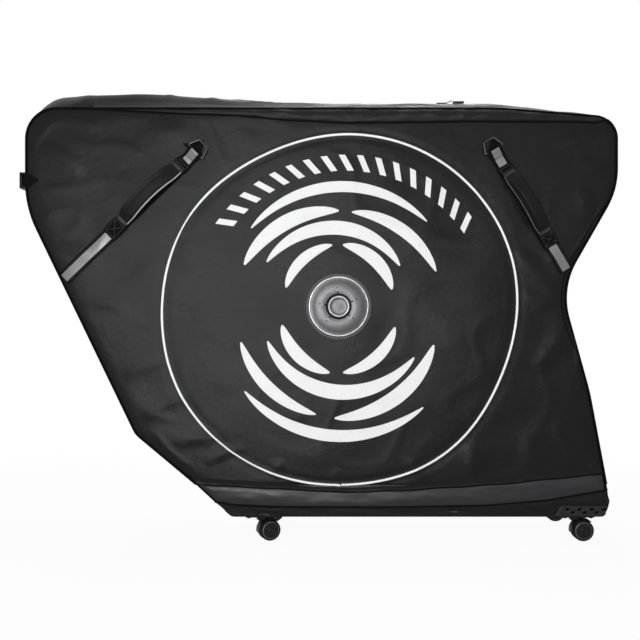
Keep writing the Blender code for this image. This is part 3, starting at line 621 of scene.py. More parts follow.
def webbing(name, colour, roughness=0.62, ribs=0.0021):
    """Ribbed narrow webbing, cord or thread. U runs along it and V across, in metres."""
    made = Finish(name, colour, roughness, specular=0.05)
    along, across = made.ripples((ribs, ribs * 0.62))
    yarn = made.times(made.maths("ADD", along, 1.4), made.maths("ADD", across, 1.6))
    wear = made.noise(made.place(), 40.0)
    tone = made.times(made.remap(yarn, 0, 6, 0.2, 0.8), made.remap(wear, 0.3, 0.7, 0.6, 1.4))
    made.tint(tone, 0.6, 1.7)
    made.bump(yarn, 0.00016, 0.7)
    return made.material


def reflective(name, colour, roughness=0.34, cell=0.0016):
    """Glass-bead tape: a fine raised net over a bright ground."""
    made = Finish(name, colour, roughness, specular=0.6)
    net = made.remap(made.cells(made.place(), 1 / cell), 0.0, 0.6, 1.0, 0.0)
    dirt = made.noise(made.place(), 55.0, 4.0, 0.6)
    tone = made.times(made.remap(net, 0, 1, 0.55, 1.0), made.remap(dirt, 0.3, 0.65, 0.72, 1.0))
    made.tint(tone, 0.62, 1.0)
    made.bump(net, 0.00012, 0.5)
    return made.material


def printed(name, colour):
    """Matte ink on cloth: the weave shows through, with hairline cracks at the folds."""
    made = Finish(name, colour, 0.6, specular=0.3)
    threads = made.threads(3.0)
    cracks = made.noise(made.place(), 30.0, 5.0, 0.65, 1.4)
    tone = made.times(
        made.remap(threads, 0.75, 1.25, 0.8, 1.0), made.remap(cracks, 0.30, 0.38, 0.8, 1.0)
    )
    made.tint(tone, 0.55, 1.0)
    made.bump(threads, 0.0003, 0.3)
    return made.material


def moulded(name, colour, roughness, grain=1400.0, wear=1.5, specular=0.5):
    """Moulded plastic or rubber with a fine spark-eroded grain and paler rubbed edges."""
    made = Finish(name, colour, roughness, specular=specular)
    where = made.place("Object")
    rub = made.noise(where, 90.0, 4.0, 0.65)
    edge = made.node("ShaderNodeNewGeometry").outputs["Pointiness"]
    worn = made.times(made.remap(edge, 0.50, 0.58, 0.0, 1.0), made.remap(rub, 0.35, 0.6, 0.2, 1.0))
    made.tint(worn, 1.0, wear)
    made.rough(made.remap(rub, 0.3, 0.7, roughness - 0.07, roughness + 0.09))
    made.bump(made.noise(where, grain, 2.0), 0.00012, 0.5)
    return made.material


def metal(name, colour, roughness, streak=(1, 1, 1), streak_scale=500.0, kind="Object"):
    """Metal with fine drawn or brushed streaks and a little tarnish."""
    made = Finish(name, colour, roughness, metallic=1.0)
    lines = made.noise(made.place(kind, streak), streak_scale, 3.0, 0.6)
    stain = made.noise(made.place("Object"), 45.0, 4.0, 0.6)
    made.tint(made.remap(stain, 0.3, 0.7, 0, 1), 0.82, 1.08)
    made.rough(made.remap(lines, 0.3, 0.7, roughness - 0.09, roughness + 0.12))
    made.bump(lines, 0.00010, 0.45)
    return made.material


def foam_finish(name, colour):
    """Open cells with painted shade: darker towards each cell's edge, more so in random patches."""
    made = Finish(name, colour, 0.92, specular=0.25, sheen=0.1)
    cells = made.cells(made.place("Object"), 900.0)
    # painted shade: the colour falls with the distance from each cell's middle, scaled by a noise
    made.tint(made.times(cells, made.noise(made.place("Object"), 60.0)), 1.35, 0.6)
    made.bump(cells, 0.0006, 0.7)
    return made.material


BLACK = (0.0053, 0.0053, 0.0057)
oxford = fabric("oxford_cloth", BLACK, 0.0011, 0.30, 0.110, spread=0.36)
roll_cloth = fabric("roll_cloth", (0.0075, 0.0075, 0.0080), 0.0011, 0.38, 0.115)
gusset_cloth = fabric("gusset_cloth", (0.0095, 0.0095, 0.0102), 0.0011, 0.42, 0.065, patch=11.0)
wall_cloth = fabric("wall_cloth", (0.0072, 0.0072, 0.0077), 0.0012, 0.50, 0.07)
lining = fabric("grey_lining", (0.115, 0.115, 0.122), 0.0009, 0.75, sheen=0.15, spread=0.12)
dark_lining = fabric("black_lining", (0.030, 0.030, 0.032), 0.0009, 0.72, sheen=0.12, spread=0.2)
grip_cloth = fabric("grip_cloth", (0.0040, 0.0040, 0.0042), 0.0013, 0.40, 0.10, relief=0.0001)
coated = coated_fabric("coated_band", (0.0120, 0.0120, 0.0135), 0.40)
piping_cloth = webbing("piping_cloth", (0.0030, 0.0030, 0.0032), 0.50, 0.0016)
strap_cloth = webbing("strap_webbing", (0.0032, 0.0032, 0.0034))
patch_cloth = webbing("patch_cloth", (0.0034, 0.0034, 0.0036), 0.50, 0.0018)
thread = webbing("sewing_thread", (0.022, 0.022, 0.023), 0.6, 0.0007)
seam_thread = webbing("grey_thread", (0.060, 0.060, 0.062), 0.6, 0.0007)
# pale cords on the grips' edges, whose colour is a painted highlight; the second, brighter one is
# for the front grips
painted_highlight_binding = webbing("painted_highlight_binding", (0.120, 0.120, 0.124), 0.6, 0.0012)
bright_painted_highlight_binding = webbing("bright_painted_highlight_binding", (0.40, 0.40, 0.41), 0.6, 0.0012)
hem_cloth = webbing("hem_cloth", (0.050, 0.050, 0.052), 0.6, 0.0012)
stripe = reflective("grey_reflective", (0.15, 0.15, 0.154))
white_cord = reflective("white_reflective", (0.97, 0.97, 0.97), 0.42, 0.0012)
print_white = printed("white_print", (0.74, 0.74, 0.74))
plastic = moulded("black_moulding", (0.0045, 0.0045, 0.0048), 0.38, specular=0.10)
tyre = moulded("wheel_rubber", (0.0045, 0.0045, 0.0047), 0.55, 900.0, 1.8, 0.09)
cap_ring = moulded("wheel_ring", (0.085, 0.085, 0.087), 0.40, specular=0.25)
wheel_cap = moulded("wheel_cap", (0.0065, 0.0065, 0.0068), 0.36, specular=0.12)
floor_board = moulded("base_board", (0.035, 0.035, 0.036), 0.62, 500.0)
guard_ring = moulded("guard_ring", (0.125, 0.125, 0.127), 0.45, specular=0.25)
guard_moulding = moulded("guard_moulding", (0.0140, 0.0140, 0.0145), 0.42, specular=0.14)
# near-black finish for the rear guard's oval recesses: painted shade
painted_recess_shade = moulded("painted_recess_shade", (0.0020, 0.0020, 0.0021), 0.70, specular=0.03)
steel = metal("zinc_steel", (0.60, 0.60, 0.61), 0.30)
dark_steel = metal("black_steel", (0.055, 0.055, 0.058), 0.34)
rail_metal = metal("rail_aluminium", (0.62, 0.63, 0.64), 0.38, (0.02, 1, 1), 700.0)
rim_metal = metal("rim_aluminium", (0.30, 0.30, 0.31), 0.36, (1, 60, 1), 60.0, "UV")
disc_metal = metal("disc_aluminium", (0.088, 0.088, 0.090), 0.44, (1, 60, 1), 60.0, "UV")
foam = foam_finish("pad_foam", (0.055, 0.055, 0.058))


# ---------------------------------------------------------------- the two half shells
FOOT_LENGTH = 0.82
INNER_RINGS = [0, 12, 30, 48, 62, 72, 77]
ZIP_EDGE = 0.0115
GUSSET_Y = np.concatenate((np.linspace(SEAM_Y, 0.118, 5), np.linspace(0.110, ZIP_EDGE, 17)))
GUSSET_THICK = 0.0036
ZIP_DEPTHS = (0.0150, 0.0110, 0.0070, 0.0030, 0.0012)
TOOTH_PITCH = 0.0032
TOOTH_CORNERS = (
    # along the zip, away from its middle and outwards: a tooth's foot, then its narrower top
    (-1, 0, -1), (1, 0, -1), (1, 1, -1), (-1, 1, -1),
    (-0.7, 0, 1), (0.7, 0, 1), (0.7, 1, 1), (-0.7, 1, 1),
)
TOOTH_FACES = ((0, 1, 2, 3), (4, 5, 6, 7), (0, 1, 5, 4), (1, 2, 6, 5), (2, 3, 7, 6), (3, 0, 4, 7))
CORD = 0.0019


def spot(x, z, depth, side):
    """Points at a depth from the centre plane, on the near half with side -1."""
    x, z, depth = np.broadcast_arrays(x, z, depth)
    return np.stack((x, side * depth, z), -1)


def on_surface(x, z, lift, side):
    """Points this far above a side panel's cloth."""
    x, z = np.asarray(x, float), np.asarray(z, float)
    return spot(x, z, HALF_WIDTH + panel_relief(x, z) + lift, side)


def panel_grid(edge_step):
    """Rings of places round the hub, out to the panel's whole edge with its foot."""
    foot = np.linspace(seam.points[-1][0], seam.points[0][0], round(FOOT_LENGTH / edge_step))[1:-1]
    foot = np.column_stack((foot, np.full(len(foot), HINGE_Z)))
    edge = np.vstack((resample(seam.points, edge_step), foot))
    rings = 1 - (1 - np.linspace(0.012, 1, 78)) ** 1.22
    return HUB + rings[None, :, None] * (edge[:, None] - HUB)


PANEL_X, PANEL_Z = np.moveaxis(panel_grid(edge_step=0.0085), -1, 0)
PANEL_HEIGHT = panel_relief(PANEL_X, PANEL_Z)


def make_panel(half, side):
    """A side panel's cloth with its relief, and its flat lining."""
    outer = spot(PANEL_X, PANEL_Z, HALF_WIDTH + PANEL_HEIGHT, side)
    depth = PANEL_INNER + 0.0002
    inner = spot(PANEL_X[:, INNER_RINGS], PANEL_Z[:, INNER_RINGS], depth, side)
    points, faces, parts = ring_sheet(outer, inner)
    shape = points, faces, points[:, (0, 2)], parts == 1
    add_to_shell(half, "panel_cloth", shape, (oxford, dark_lining), "oxford", ["side_panel"], 0.3)


def gusset_relief(depth):
    """Folds across the gusset, deepest over the front of the top, and none at its seams."""
    along, depth = np.broadcast_arrays(seam.lengths[:, None], depth)
    loft = seam.top[:, None] * (1 - smooth(seam.points[:, :1], -0.25, 0.10))
    free = smooth(SEAM_Y - depth, 0.0, 0.016) * smooth(depth, ZIP_EDGE, 0.030)
    free = free * smooth(seam.from_ends(), 0.0, 0.05)[:, None]
    slant = along + depth * 0.9
    ridges = (0.0010 + 0.0012 * loft) * creases(slant * 0.5, depth, 0.07, 5)
    return free * (0.0013 * waves(slant * 0.7, depth, 0.11, 31) + ridges)


def make_gusset(half, side):
    """The crowned cloth from a panel's seam to the zip, round nose, top and tail."""
    depth = GUSSET_Y[None, :]
    share = np.clip(depth / SEAM_Y, 0, 1)
    out = seam.crown[:, None] * (1 - share ** seam.full[:, None])
    lift = gusset_relief(depth) - 0.0010 * np.exp(-((depth - ZIP_EDGE) / 0.003) ** 2)

    def at(extra):
        x = seam.points[:, :1] + seam.normals[:, :1] * (out + extra)
        z = seam.points[:, 1:] + seam.normals[:, 1:] * (out + extra)
        return spot(x, z, depth, side)

    shape = sheet(at(lift), at(-GUSSET_THICK), seam.lengths[:, None], depth, lined=True)
    nodes = ["nose_gusset", "top_gusset", "tail_gusset"]
    add_to_shell(half, "gusset_cloth", shape, (gusset_cloth, dark_lining), "gusset", nodes, 0.2)


def ridge_points(depth, lift, marks):
    """Places on the gusset at lengths along the seam, with the outward way at each."""
    x, z, out_x, out_z = seam.at(marks)
    crown, full = (np.interp(marks, seam.lengths, v) for v in (seam.crown, seam.full))
    out = crown * (1 - min(abs(depth) / SEAM_Y, 1) ** full) + lift
    normal = np.stack((out_x, out_z), 1)
    normal /= np.linalg.norm(normal, axis=1)[:, None]
    return np.stack((x, z), 1) + normal * out[:, None], normal


def make_zip(half, side):
    """A tape under the gusset's edge, and teeth that mesh with the other half's."""
    marks = np.linspace(0.012, seam.total - 0.012, 420)
    rows = []
    for lift in (-0.0010, -0.0019):
        line = [spot(*ridge_points(depth, lift, marks)[0].T, depth, side) for depth in ZIP_DEPTHS]
        rows.append(np.stack(line, 1))
    shape = sheet(*rows, marks[:, None], np.array(ZIP_DEPTHS))
    add_to_shell(half, "zip_tape", shape, strap_cloth, "webbing")
    start = 0.020 + (TOOTH_PITCH / 2 if side > 0 else 0)
    marks = np.arange(start, seam.total - 0.020, TOOTH_PITCH)
    flat, normal = ridge_points(0.002, -0.0008, marks)
    way = np.stack((normal[:, 1], -normal[:, 0]), 1)
    corners = []
    for u, v, w in TOOTH_CORNERS:
        base = flat + way * (u * 0.0009) + normal * (w * 0.0008)
        corners.append(spot(*base.T, 0.0003 + v * 0.0036, side))
    points = np.stack(corners, 1).reshape(-1, 3)
    faces = np.array(TOOTH_FACES)[None] + 8 * np.arange(len(marks))[:, None, None]
    add_to_shell(half, "zip_teeth", (points, faces.reshape(-1, 4)), plastic, "plastic", flat=True)


TOP_SEAM = np.array((
    # where the top seam runs on the side: at the outline over the nose, lower towards the tail
    (-0.560, 0.8800), (-0.457, 0.8714), (-0.349, 0.8642), (-0.269, 0.8596), (-0.157, 0.8562),
    (-0.069, 0.8470), (0.047, 0.8412), (0.155, 0.8420), (0.301, 0.8440), (0.393, 0.8436),
    (0.503, 0.8440), (0.551, 0.8436), (0.575, 0.8400), (0.600, 0.8700),
))
ON_TOP = 0.30  # the seam's outward way points up by more than this where it is the top's


def top_seam(x):
    """Height of the top seam, smoothed over 40 mm."""
    shift = np.linspace(-0.02, 0.02, 5)
    return np.interp(np.asarray(x)[..., None] + shift, *TOP_SEAM.T).mean(-1)


def make_edge_piping(half, side):
    """Piping along the outline, which leaves it for the lower top seam."""
    x, z, out_x, out_z = seam.at(np.linspace(0, seam.total, 700))
    x, z = x + out_x * 0.0010, z + out_z * 0.0010
    drop = np.clip(z - top_seam(x), 0, None) * (out_z > ON_TOP)
    z = z - drop
    at_edge = 0.1325
    inset = smooth(drop, 0.0, 0.006)
    depth = at_edge + (HALF_WIDTH + panel_relief(x, z) + 0.0014 - at_edge) * inset
    shape = tube(spot(x, z, depth, side), CORD)
    add_to_shell(half, "edge_piping", shape, piping_cloth, "webbing")


def make_tail_hem(half, side):
    """The fold of the panel's hem that shows beside the waist of the tail."""
    at_tail = (seam.points[:, 0] > 0.40) & (seam.points[:, 1] > 0.36) & (seam.points[:, 1] < 0.71)
    lengths = seam.lengths[at_tail]
    x, z, out_x, out_z = seam.at(np.linspace(lengths.min(), lengths.max(), 190))
    inset = 0.0092 * smooth(z, 0.365, 0.43) * (1 - smooth(z, 0.64, 0.70)) - 0.0006
    x, z = x - out_x * inset, z - out_z * inset
    shape = tube(spot(x, z, HALF_WIDTH + panel_relief(x, z) - 0.0002, side), 0.0014)
    add_to_shell(half, "tail_hem", shape, piping_cloth, "webbing")


ROLL_LAP = (
    # depth from the centre plane, and how far out the roll lies there, where it laps on the gusset
    (0.1345, 0.0014), (0.1318, 0.0024), (0.1285, 0.0028), (0.1240, 0.0020), (0.1180, 0.0004),
)


def make_top_roll(half, side):
    """The gusset's cloth where it laps over the panel's upper edge, down to the top seam."""
    on_top = seam.normals[:, 1] > ON_TOP
    edge_x = seam.points[on_top, 0]
    order = np.argsort(edge_x)
    x = np.linspace(-0.452, 0.587, 260)
    upper = np.interp(x, edge_x[order], seam.points[on_top, 1][order])
    out_x, out_z, crown, full = (
        np.interp(x, edge_x, v[on_top]) for v in (*seam.normals.T, seam.crown, seam.full)
    )
    lower = np.minimum(top_seam(x), upper - 0.0004)
    tall = upper - lower
    share = np.linspace(0, 1, 12)
    z = lower[:, None] + tall[:, None] * share[None]
    rows = x[:, None] + 0 * z
    sag = creases(rows * 0.8 + z, z * 1.2, 0.055, 15) + 0.8 * waves(rows, z, 0.045, 16)
    puff = humped(np.clip(share * 0.92, 0, 1), 0.75)
    lift = 0.0010 + np.minimum(tall * 0.16, 0.0040)[:, None] * puff[None]
    lift = lift + 0.0013 * sag * puff[None] * np.minimum(tall / 0.02, 1)[:, None]
    depth = HALF_WIDTH + panel_relief(rows, z) + lift - (share ** 5)[None] * 0.0014
    for level, lap in ROLL_LAP:
        out = np.clip(crown * (1 - (min(level, SEAM_Y) / SEAM_Y) ** full), 0, None) + lap
        rows = np.column_stack((rows, x + out_x * out))
        z = np.column_stack((z, upper + out_z * out))
        depth = np.column_stack((depth, np.full_like(x, level)))
    # the cloth's thickness goes inwards on the side and downwards on the lap
    on_lap = np.arange(z.shape[1]) >= len(share)
    inner = spot(rows, z - 0.0026 * on_lap, depth - 0.0024 * ~on_lap, side)
    v = 0.0025 * np.arange(1, z.shape[1] + 1)
    shape = sheet(spot(rows, z, depth, side), inner, x[:, None], v)
    add_to_shell(half, "top_roll", shape, roll_cloth, "gusset")


SLIDER_X = NOSE_X + 0.749 * SEAM_LENGTH
SLIDER_HALF = (0.012, 0.008)
PULL_LENGTH = 0.034


def make_slider():
    """A die-cast slider on the zip's ridge, with a pull tab that droops on to the cloth."""
    low = RIDGE_Z + 0.0020
    long, wide = SLIDER_HALF
    back, rib = SLIDER_X - long, 0.0016
    top = low + 0.0050
    casting = merge(
        bevelled_box((back, -wide, low), (SLIDER_X + long, wide, low + 0.0034), 0.0010),
        bevelled_box((back, -rib, low + 0.0024), (SLIDER_X + long * 0.3, rib, top), 0.0008),
    )
    add("zip_slider_casting", casting[:2], dark_steel, "zip_slider", "steel", ["zip_slider"])
    share = np.linspace(0, 1, 25)[:, None]
    x = back - 0.0012 - PULL_LENGTH * share
    z = top - 0.0052 * smooth(share, 0.0, 0.45)
    half = 0.0022 + 0.0030 * smooth(share, 0.15, 0.6) - 0.0022 * smooth(share, 0.93, 1.0)
    y = half * np.linspace(-1, 1, 7)[None]
    rows = [np.stack(np.broadcast_arrays(x, y, z + lift), -1) for lift in (0.0008, -0.0006)]
    add("zip_pull_tab", skin(*rows)[:2], dark_steel, "zip_pull", "steel", ["zip_pull"])


CORD_START, CORD_LAP = -1.600, 0.028  # in radians: where the cord's end lies, and its overlap


def make_circle(half, side):
    """Reflective piping sewn round the wheel pocket. Its ends lie side by side at the bottom."""
    angle = np.linspace(CORD_START, CORD_START + 2 * math.pi + CORD_LAP, 300)
    radius = circle_radius((angle + math.pi) % (2 * math.pi) - math.pi)
    radius = radius + 0.0052 * smooth(angle, angle[-1] - 0.05, angle[-1] - 0.012)
    x, z = CIRCLE_CENTRE[0] + radius * np.cos(angle), CIRCLE_CENTRE[1] + radius * np.sin(angle)
    flattened = ((2.66, 0.13, 0.34), (4.05, 0.25, 0.30))
    thin = [share * np.exp(-((angle - at) / width) ** 2) for at, width, share in flattened]
    shape = tube(on_surface(x, z, 0.0011, side), 0.0025 * (1 - thin[0] - thin[1]), 10)
    cord = add(f"{half}_pocket_piping", shape, white_cord, None, "webbing")
    over_hinge(cord, half, side, to_base=True)


HINGE_BEND = (0.1125, 0.1245)  # two heights round the hinge: the base's side and the shell's


def over_hinge(piece, half, side, to_base=False):
    low, high = ((0, side * HINGE_Y, z) for z in HINGE_BEND)
    bodies, start, end = ("base", f"{half}_shell"), low, high
    if to_base:
        bodies, start, end = bodies[::-1], high, low
    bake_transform(piece)


GUARD_PROFILE = (
    # radius and height, from the rim's foot inwards to the middle of the boss
    (0.0655, 0.0006), (0.0662, 0.0016), (0.0662, 0.0044), (0.0650, 0.0058), (0.0622, 0.0060),
    (0.0614, 0.0052), (0.0606, 0.0052), (0.0602, 0.0074), (0.0592, 0.0082), (0.0578, 0.0080),
    (0.0572, 0.0062), (0.0560, 0.0060), (0.0500, 0.0086), (0.0430, 0.0101), (0.0360, 0.0109),
    (0.0300, 0.0107), (0.0258, 0.0098), (0.0250, 0.0078), (0.0236, 0.0070), (0.0222, 0.0072),
    (0.0217, 0.0104), (0.0208, 0.0122), (0.0194, 0.0127), (0.0182, 0.0121), (0.0174, 0.0112),
    (0.0120, 0.0110), (0.0050, 0.0114), (0.0010, 0.0115),
)
GUARD_STEPS = 192
GUARD_UV = 0.36
RIVET = ((0.0023, 0.0), (0.0023, 0.0007), (0.0017, 0.0013), (0.0005, 0.0015))
SPOKE_DEGREES = (95, 22, -40, -130, 172)


def make_guard(half, side):
    """A dished metal disc in a knurled ring, with five rivets between short slots. The slots and its
    grooves are near-black: painted shade.
    """
    points, faces, _ = turned(GUARD_PROFILE, GUARD_STEPS)
    rows = len(GUARD_PROFILE)
    grid = points.reshape(rows, GUARD_STEPS, 3)
    angles = np.arctan2(grid[..., 2], grid[..., 0])
    radius = np.hypot(grid[..., 0], grid[..., 2])
    knurl = np.where(np.arange(GUARD_STEPS) % 3 == 0, -0.0012, 0.0)
    radius[2:5] += knurl
    grid[2:5, :, 1] += knurl * 0.5
    grid[..., 0], grid[..., 2] = radius * np.cos(angles), radius * np.sin(angles)
    uv = grid_uv(np.arange(GUARD_STEPS)[None] / GUARD_STEPS * GUARD_UV, radius)
    row = np.concatenate((np.repeat(np.arange(rows - 1), GUARD_STEPS), [0, rows - 1]))
    dots = (row > 0) & (row < 4) & (np.arange(len(row)) % 2 == 0)
    # the groove inside the knurled ring and the moat round the boss take the near-black moulding:
    # painted shade in these recesses
    groove_shade = (row < 6) | ((row > 16) & (row < 19))
    rims = (row < 9) | ((row > 19) & (row < 24))
    part = np.select([dots, row < 5, groove_shade, rims], [2, 1, 2, 3])
    centre = Matrix.Translation((HUB[0], side * HALF_WIDTH, HUB[1]))
    centre = centre @ Matrix.Diagonal((1, side, 1, 1))
    shape = (*moved((grid.reshape(-1, 3), faces), centre), uv, part)
    metals = disc_metal, guard_ring, plastic, rim_metal
    add_to_shell(half, "hub_disc", shape, metals, "hub_guard", ["hub_guard"], period=GUARD_UV)
    rivets, slots = [], []
    for degrees in SPOKE_DEGREES:
        turn = centre @ Matrix.Rotation(-math.radians(degrees), 4, "Y")
        rivets.append(moved(turned(RIVET, 16), turn @ Matrix.Translation((0.0325, 0.0107, 0))))
        # each slot is a near-black block standing a little proud of the disc: painted shade for the
        # slot's opening
        for low, high in (
            ((0.0232, 0.0060, -0.0012), (0.0302, 0.0114, 0.0012)),
            ((0.0358, 0.0090, -0.0008), (0.0392, 0.0113, 0.0008)),
        ):
            slots.append(moved(bevelled_box(low, high, 0.0002), turn))
    add_to_shell(half, "disc_rivets", merge(*rivets)[:2], rim_metal, "dark_steel")
    add_to_shell(half, "disc_slot_shade", merge(*slots)[:2], plastic, "plastic")


PRINT_ARCS = (
    # radius, start and end in degrees, width, lean: crescents over and under the hub
    (0.118, 18, 86, 0.026, 0.012), (0.118, 96, 160, 0.022, -0.012),
    (0.158, 34, 148, 0.028, 0.022), (0.199, 20, 82, 0.024, -0.016),
    (0.199, 90, 156, 0.030, 0.014), (0.240, 44, 138, 0.022, -0.010),
    (0.126, 198, 262, 0.026, 0.014), (0.126, 274, 340, 0.024, -0.012),
    (0.170, 206, 326, 0.030, 0.024), (0.214, 200, 258, 0.024, 0.012),
    (0.214, 268, 338, 0.030, -0.018), (0.258, 222, 310, 0.024, 0.010),
)
BARS = 17
BARS_FROM, BARS_SPAN = 37, 106  # degrees
BAR_REACH = 0.300
BAR_SLANT = 0.55


def ink(x, z, side):
    """Print over a grid of places on a panel."""
    return sheet(on_surface(x, z, 0.00045, side), on_surface(x, z, -0.0006, side), x, z)


def arc_band(radius, start, end, width, lean, side):
    """A band of print along an arc round the hub, which thins to points at both ends."""
    share = np.linspace(0, 1, 60)
    angle = np.radians(start + (end - start) * share)[:, None]
    half = width / 2 * np.clip(np.sin(math.pi * share), 0.02, 1) ** 0.55
    reach = radius + lean * (share - 0.5)[:, None] + half[:, None] * np.linspace(-1, 1, 5)[None]
    return ink(HUB[0] + reach * np.cos(angle), HUB[1] + reach * np.sin(angle), side)


def make_print(half, side):
    """A plain printed pattern: broken crescents round the hub and a row of slanted bars above."""
    shapes = [arc_band(*row, side) for row in PRINT_ARCS]
    up = np.linspace(-0.016, 0.016, 6)[:, None, None]
    wide = np.linspace(-0.0065, 0.0065, 3)[None, :, None]
    for i in range(BARS):
        angle = math.radians(BARS_FROM + i * BARS_SPAN / (BARS - 1))
        way = np.array((math.cos(angle), math.sin(angle)))
        turn = np.array((-way[1], way[0]))
        flat = CIRCLE_CENTRE + way * BAR_REACH + up * (way + turn * BAR_SLANT) + wide * turn
        shapes.append(ink(flat[..., 0], flat[..., 1], side))
    add_to_shell(half, "pattern", merge(*shapes), print_white, "oxford")


for half, side in SIDES:
    for make in (
        make_panel, make_gusset, make_zip, make_edge_piping, make_tail_hem, make_top_roll,
        make_circle, make_guard, make_print,
    ):
        make(half, side)
make_slider()


# ---------------------------------------------------------------- straps, grips, rings and buckle
STRAPS = {
    # lower and upper end on the panel, and the outer faces of its two tabs as shares of its length
    "front": ((0.068, 0.552), (0.291, 0.888), (0.391, 0.898)),
    "rear": ((0.912, 0.576), (0.789, 0.894), (0.239, 0.836)),
}
ANCHORS = {
    # the corners of the cloth triangles that hold the rings, on the near panel
    "front": ((-0.272, 0.799), (-0.228, 0.808), (-0.2355, 0.768)),
    "rear": ((0.3465, 0.8125), (0.371, 0.797), (0.336, 0.779)),
}
TAB = 0.012
BAR_OUT = 0.0052
GRIP_LINE = 0.00915
GRIP_RISE = 0.0205
GRIP_SIDES = 56
GRIP_SQUARE = 0.72
PATCH_HALF = 0.0163
PATCH_LOW, PATCH_HIGH = 0.0034, 0.0112
STRIPE_LEVEL = 0.0023
RING_HALF = 0.0205


class Strap:
    """A strap's own frame: along it, across it, and out from its panel."""

    def __init__(self, half, side, name):
        low, high, tabs = STRAPS[name]
        self.half, self.side, self.name = half, side, name
        self.front = name == "front"
        self.low = on_panel(*low)
        reach = on_panel(*high) - self.low
        self.length = np.linalg.norm(reach)
        self.way = reach / self.length
        self.over = side * np.array((self.way[1], -self.way[0]))
        self.lower, self.upper = (share * self.length for share in tabs)
        self.bar = self.length - 0.0055

    def flat(self, along, across):
        """x and z of places along and across the strap."""
        along, across = (v[..., None] for v in np.broadcast_arrays(along, across))
        return np.moveaxis(self.low + along * self.way + across * self.over, -1, 0)

    def at(self, along, across, out):
        """Points out from the panel's cloth."""
        along, across, out = np.broadcast_arrays(along, across, out)
        x, z = self.flat(along, across)
        return spot(x, z, HALF_WIDTH + panel_relief(x, z) + out, self.side)

    def clear(self, along, across, out):
        """Points out from the panel's flat solid, whatever the cloth does."""
        return spot(*self.flat(along, across), HALF_WIDTH + out, self.side)

    def add(self, name, shape, material, nodes=(), slot="webbing", moving=None, fill=None):
        """A piece on the shell, or on a body of the strap's own that moves."""
        start = f"{self.half}_{self.name}_"
        body = start + moving if moving else f"{self.half}_shell"
        nodes = [start + node for node in nodes]
        add(start + name, shape, material, body, slot, nodes, fill)


def ribbon(strap, path, width, thick, columns=9):
    """A flat woven band along a path of (along, out) points."""
    path = np.asarray(path, float)
    ways = headings(path)
    across = np.linspace(-1, 1, columns)
    half = thick / 2 * (1 - 0.5 * across ** 6)
    wide = across[None] * width / 2

    def face(sign):
        along = path[:, :1] - sign * ways[:, 1:] * half
        return strap.at(along, wide, path[:, 1:] + sign * ways[:, :1] * half)

    return sheet(face(1), face(-1), run_of(path)[:, None], wide)


def stitches(path, radius=0.00045, pitch=0.0030):
    """A row of lock stitches: one thread that dips into the cloth at each end of a stitch."""
    path = resample(path, pitch / 4)
    beat = np.abs(np.sin(np.arange(len(path)) * math.pi / 4))
    return tube(path, radius * (0.35 + 0.65 * beat), 6)


def strap_path(bar):
    """The whole band: up from the panel's edge, round the ring's bar and back on itself."""
    turn, reach = np.radians(np.linspace(-90, 90, 13)), 0.0036
    path = [(a, 0.0011) for a in np.linspace(-0.0065, bar - 0.010, 60)]
    path += [(bar - 0.006, 0.0012), (bar - 0.003, 0.0014)]
    path += [(bar + reach * math.cos(t), BAR_OUT + reach * math.sin(t)) for t in turn]
    back = (
        (0.003, 0.0086), (0.006, 0.0077), (0.009, 0.0060), (0.0125, 0.0040), (0.015, 0.0033),
        (0.018, 0.0031),
    )
    return path + [(bar - a, out) for a, out in back]


def box_patch(strap, name, start, end, toward_end, crossed):
    """The sewn end of a grip: cloth folded over it, thicker towards the grip, with its stitches."""
    share = np.linspace(0, 1, 19)
    along = start + (end - start) * share
    up = share if toward_end else 1 - share
    top = PATCH_LOW + (PATCH_HIGH - PATCH_LOW) * smooth(up, 0.0, 0.75)
    top = top - 0.0016 * smooth(up, 0.86, 1.0) - 0.0008 * smooth(-up, -0.04, 0.0)
    across = np.linspace(-1, 1, 15)[None]
    wide = across * PATCH_HALF
    droop = 0.22
    puff = 0.0005 * np.sin(np.pi * share)[:, None] * np.cos(across * math.pi * 1.5)
    outer = strap.at(along[:, None], wide, top[:, None] * (1 - droop * np.abs(across) ** 5) + puff)
    inner = strap.at(along[:, None], wide, 0.0004)
    strap.add(f"{name}_patch", sheet(outer, inner, along[:, None], wide), patch_cloth)

    def on_top(a, c):
        level = np.interp(a, along, top) * (1 - droop * np.abs(np.asarray(c) / PATCH_HALF) ** 5)
        return strap.at(a, c, level + 0.0003)

    low, high, c = start + 0.004, end - 0.0045, PATCH_HALF - 0.0040
    lines = [((low, -c), (high, -c), (high, c), (low, c), (low, -c))]
    if crossed:
        lines += [((low, -c), (high, c)), ((low, c), (high, -c))]
    rows = [stitches(on_top(*resample(line, 0.001).T), 0.00062) for line in lines]
    strap.add(f"{name}_patch_stitches", merge(*rows), seam_thread)


def make_strap(strap):
    """The band with its two box patches, its reflective stripes and its stitching."""
    bar = strap.bar
    band = ribbon(strap, strap_path(bar), 0.030, 0.0018)
    strap.add("strap_band", band, strap_cloth, ["strap"])
    first = strap.lower - (0.025 if strap.front else 0.017)
    last = strap.upper + 0.004
    box_patch(strap, "lower", first, strap.lower + 0.0135, True, True)
    box_patch(strap, "upper", strap.upper - 0.0145, last, False, strap.front)
    lower = [(a, STRIPE_LEVEL) for a in np.linspace(-0.0050, first + 0.003, 30)]
    upper = [(a, STRIPE_LEVEL) for a in np.linspace(last - 0.003, bar - 0.0195, 12)]
    upper += [(bar - a, out) for a, out in (
        (0.0182, 0.0030), (0.0168, 0.0043), (0.0125, 0.0052), (0.009, 0.0072), (0.006, 0.0090),
        (0.003, 0.0099), (0.0005, 0.0101),
    )]
    for name, line in (("lower", lower), ("upper", upper)):
        strap.add(f"{name}_stripe", ribbon(strap, line, 0.0175, 0.0005, 5), stripe)
    run = np.linspace(0.001, first - 0.001, 60)
    rows = [stitches(strap.at(run, across, 0.0022)) for across in (-0.0118, 0.0118)]
    strap.add("strap_stitches", merge(*rows), seam_thread)


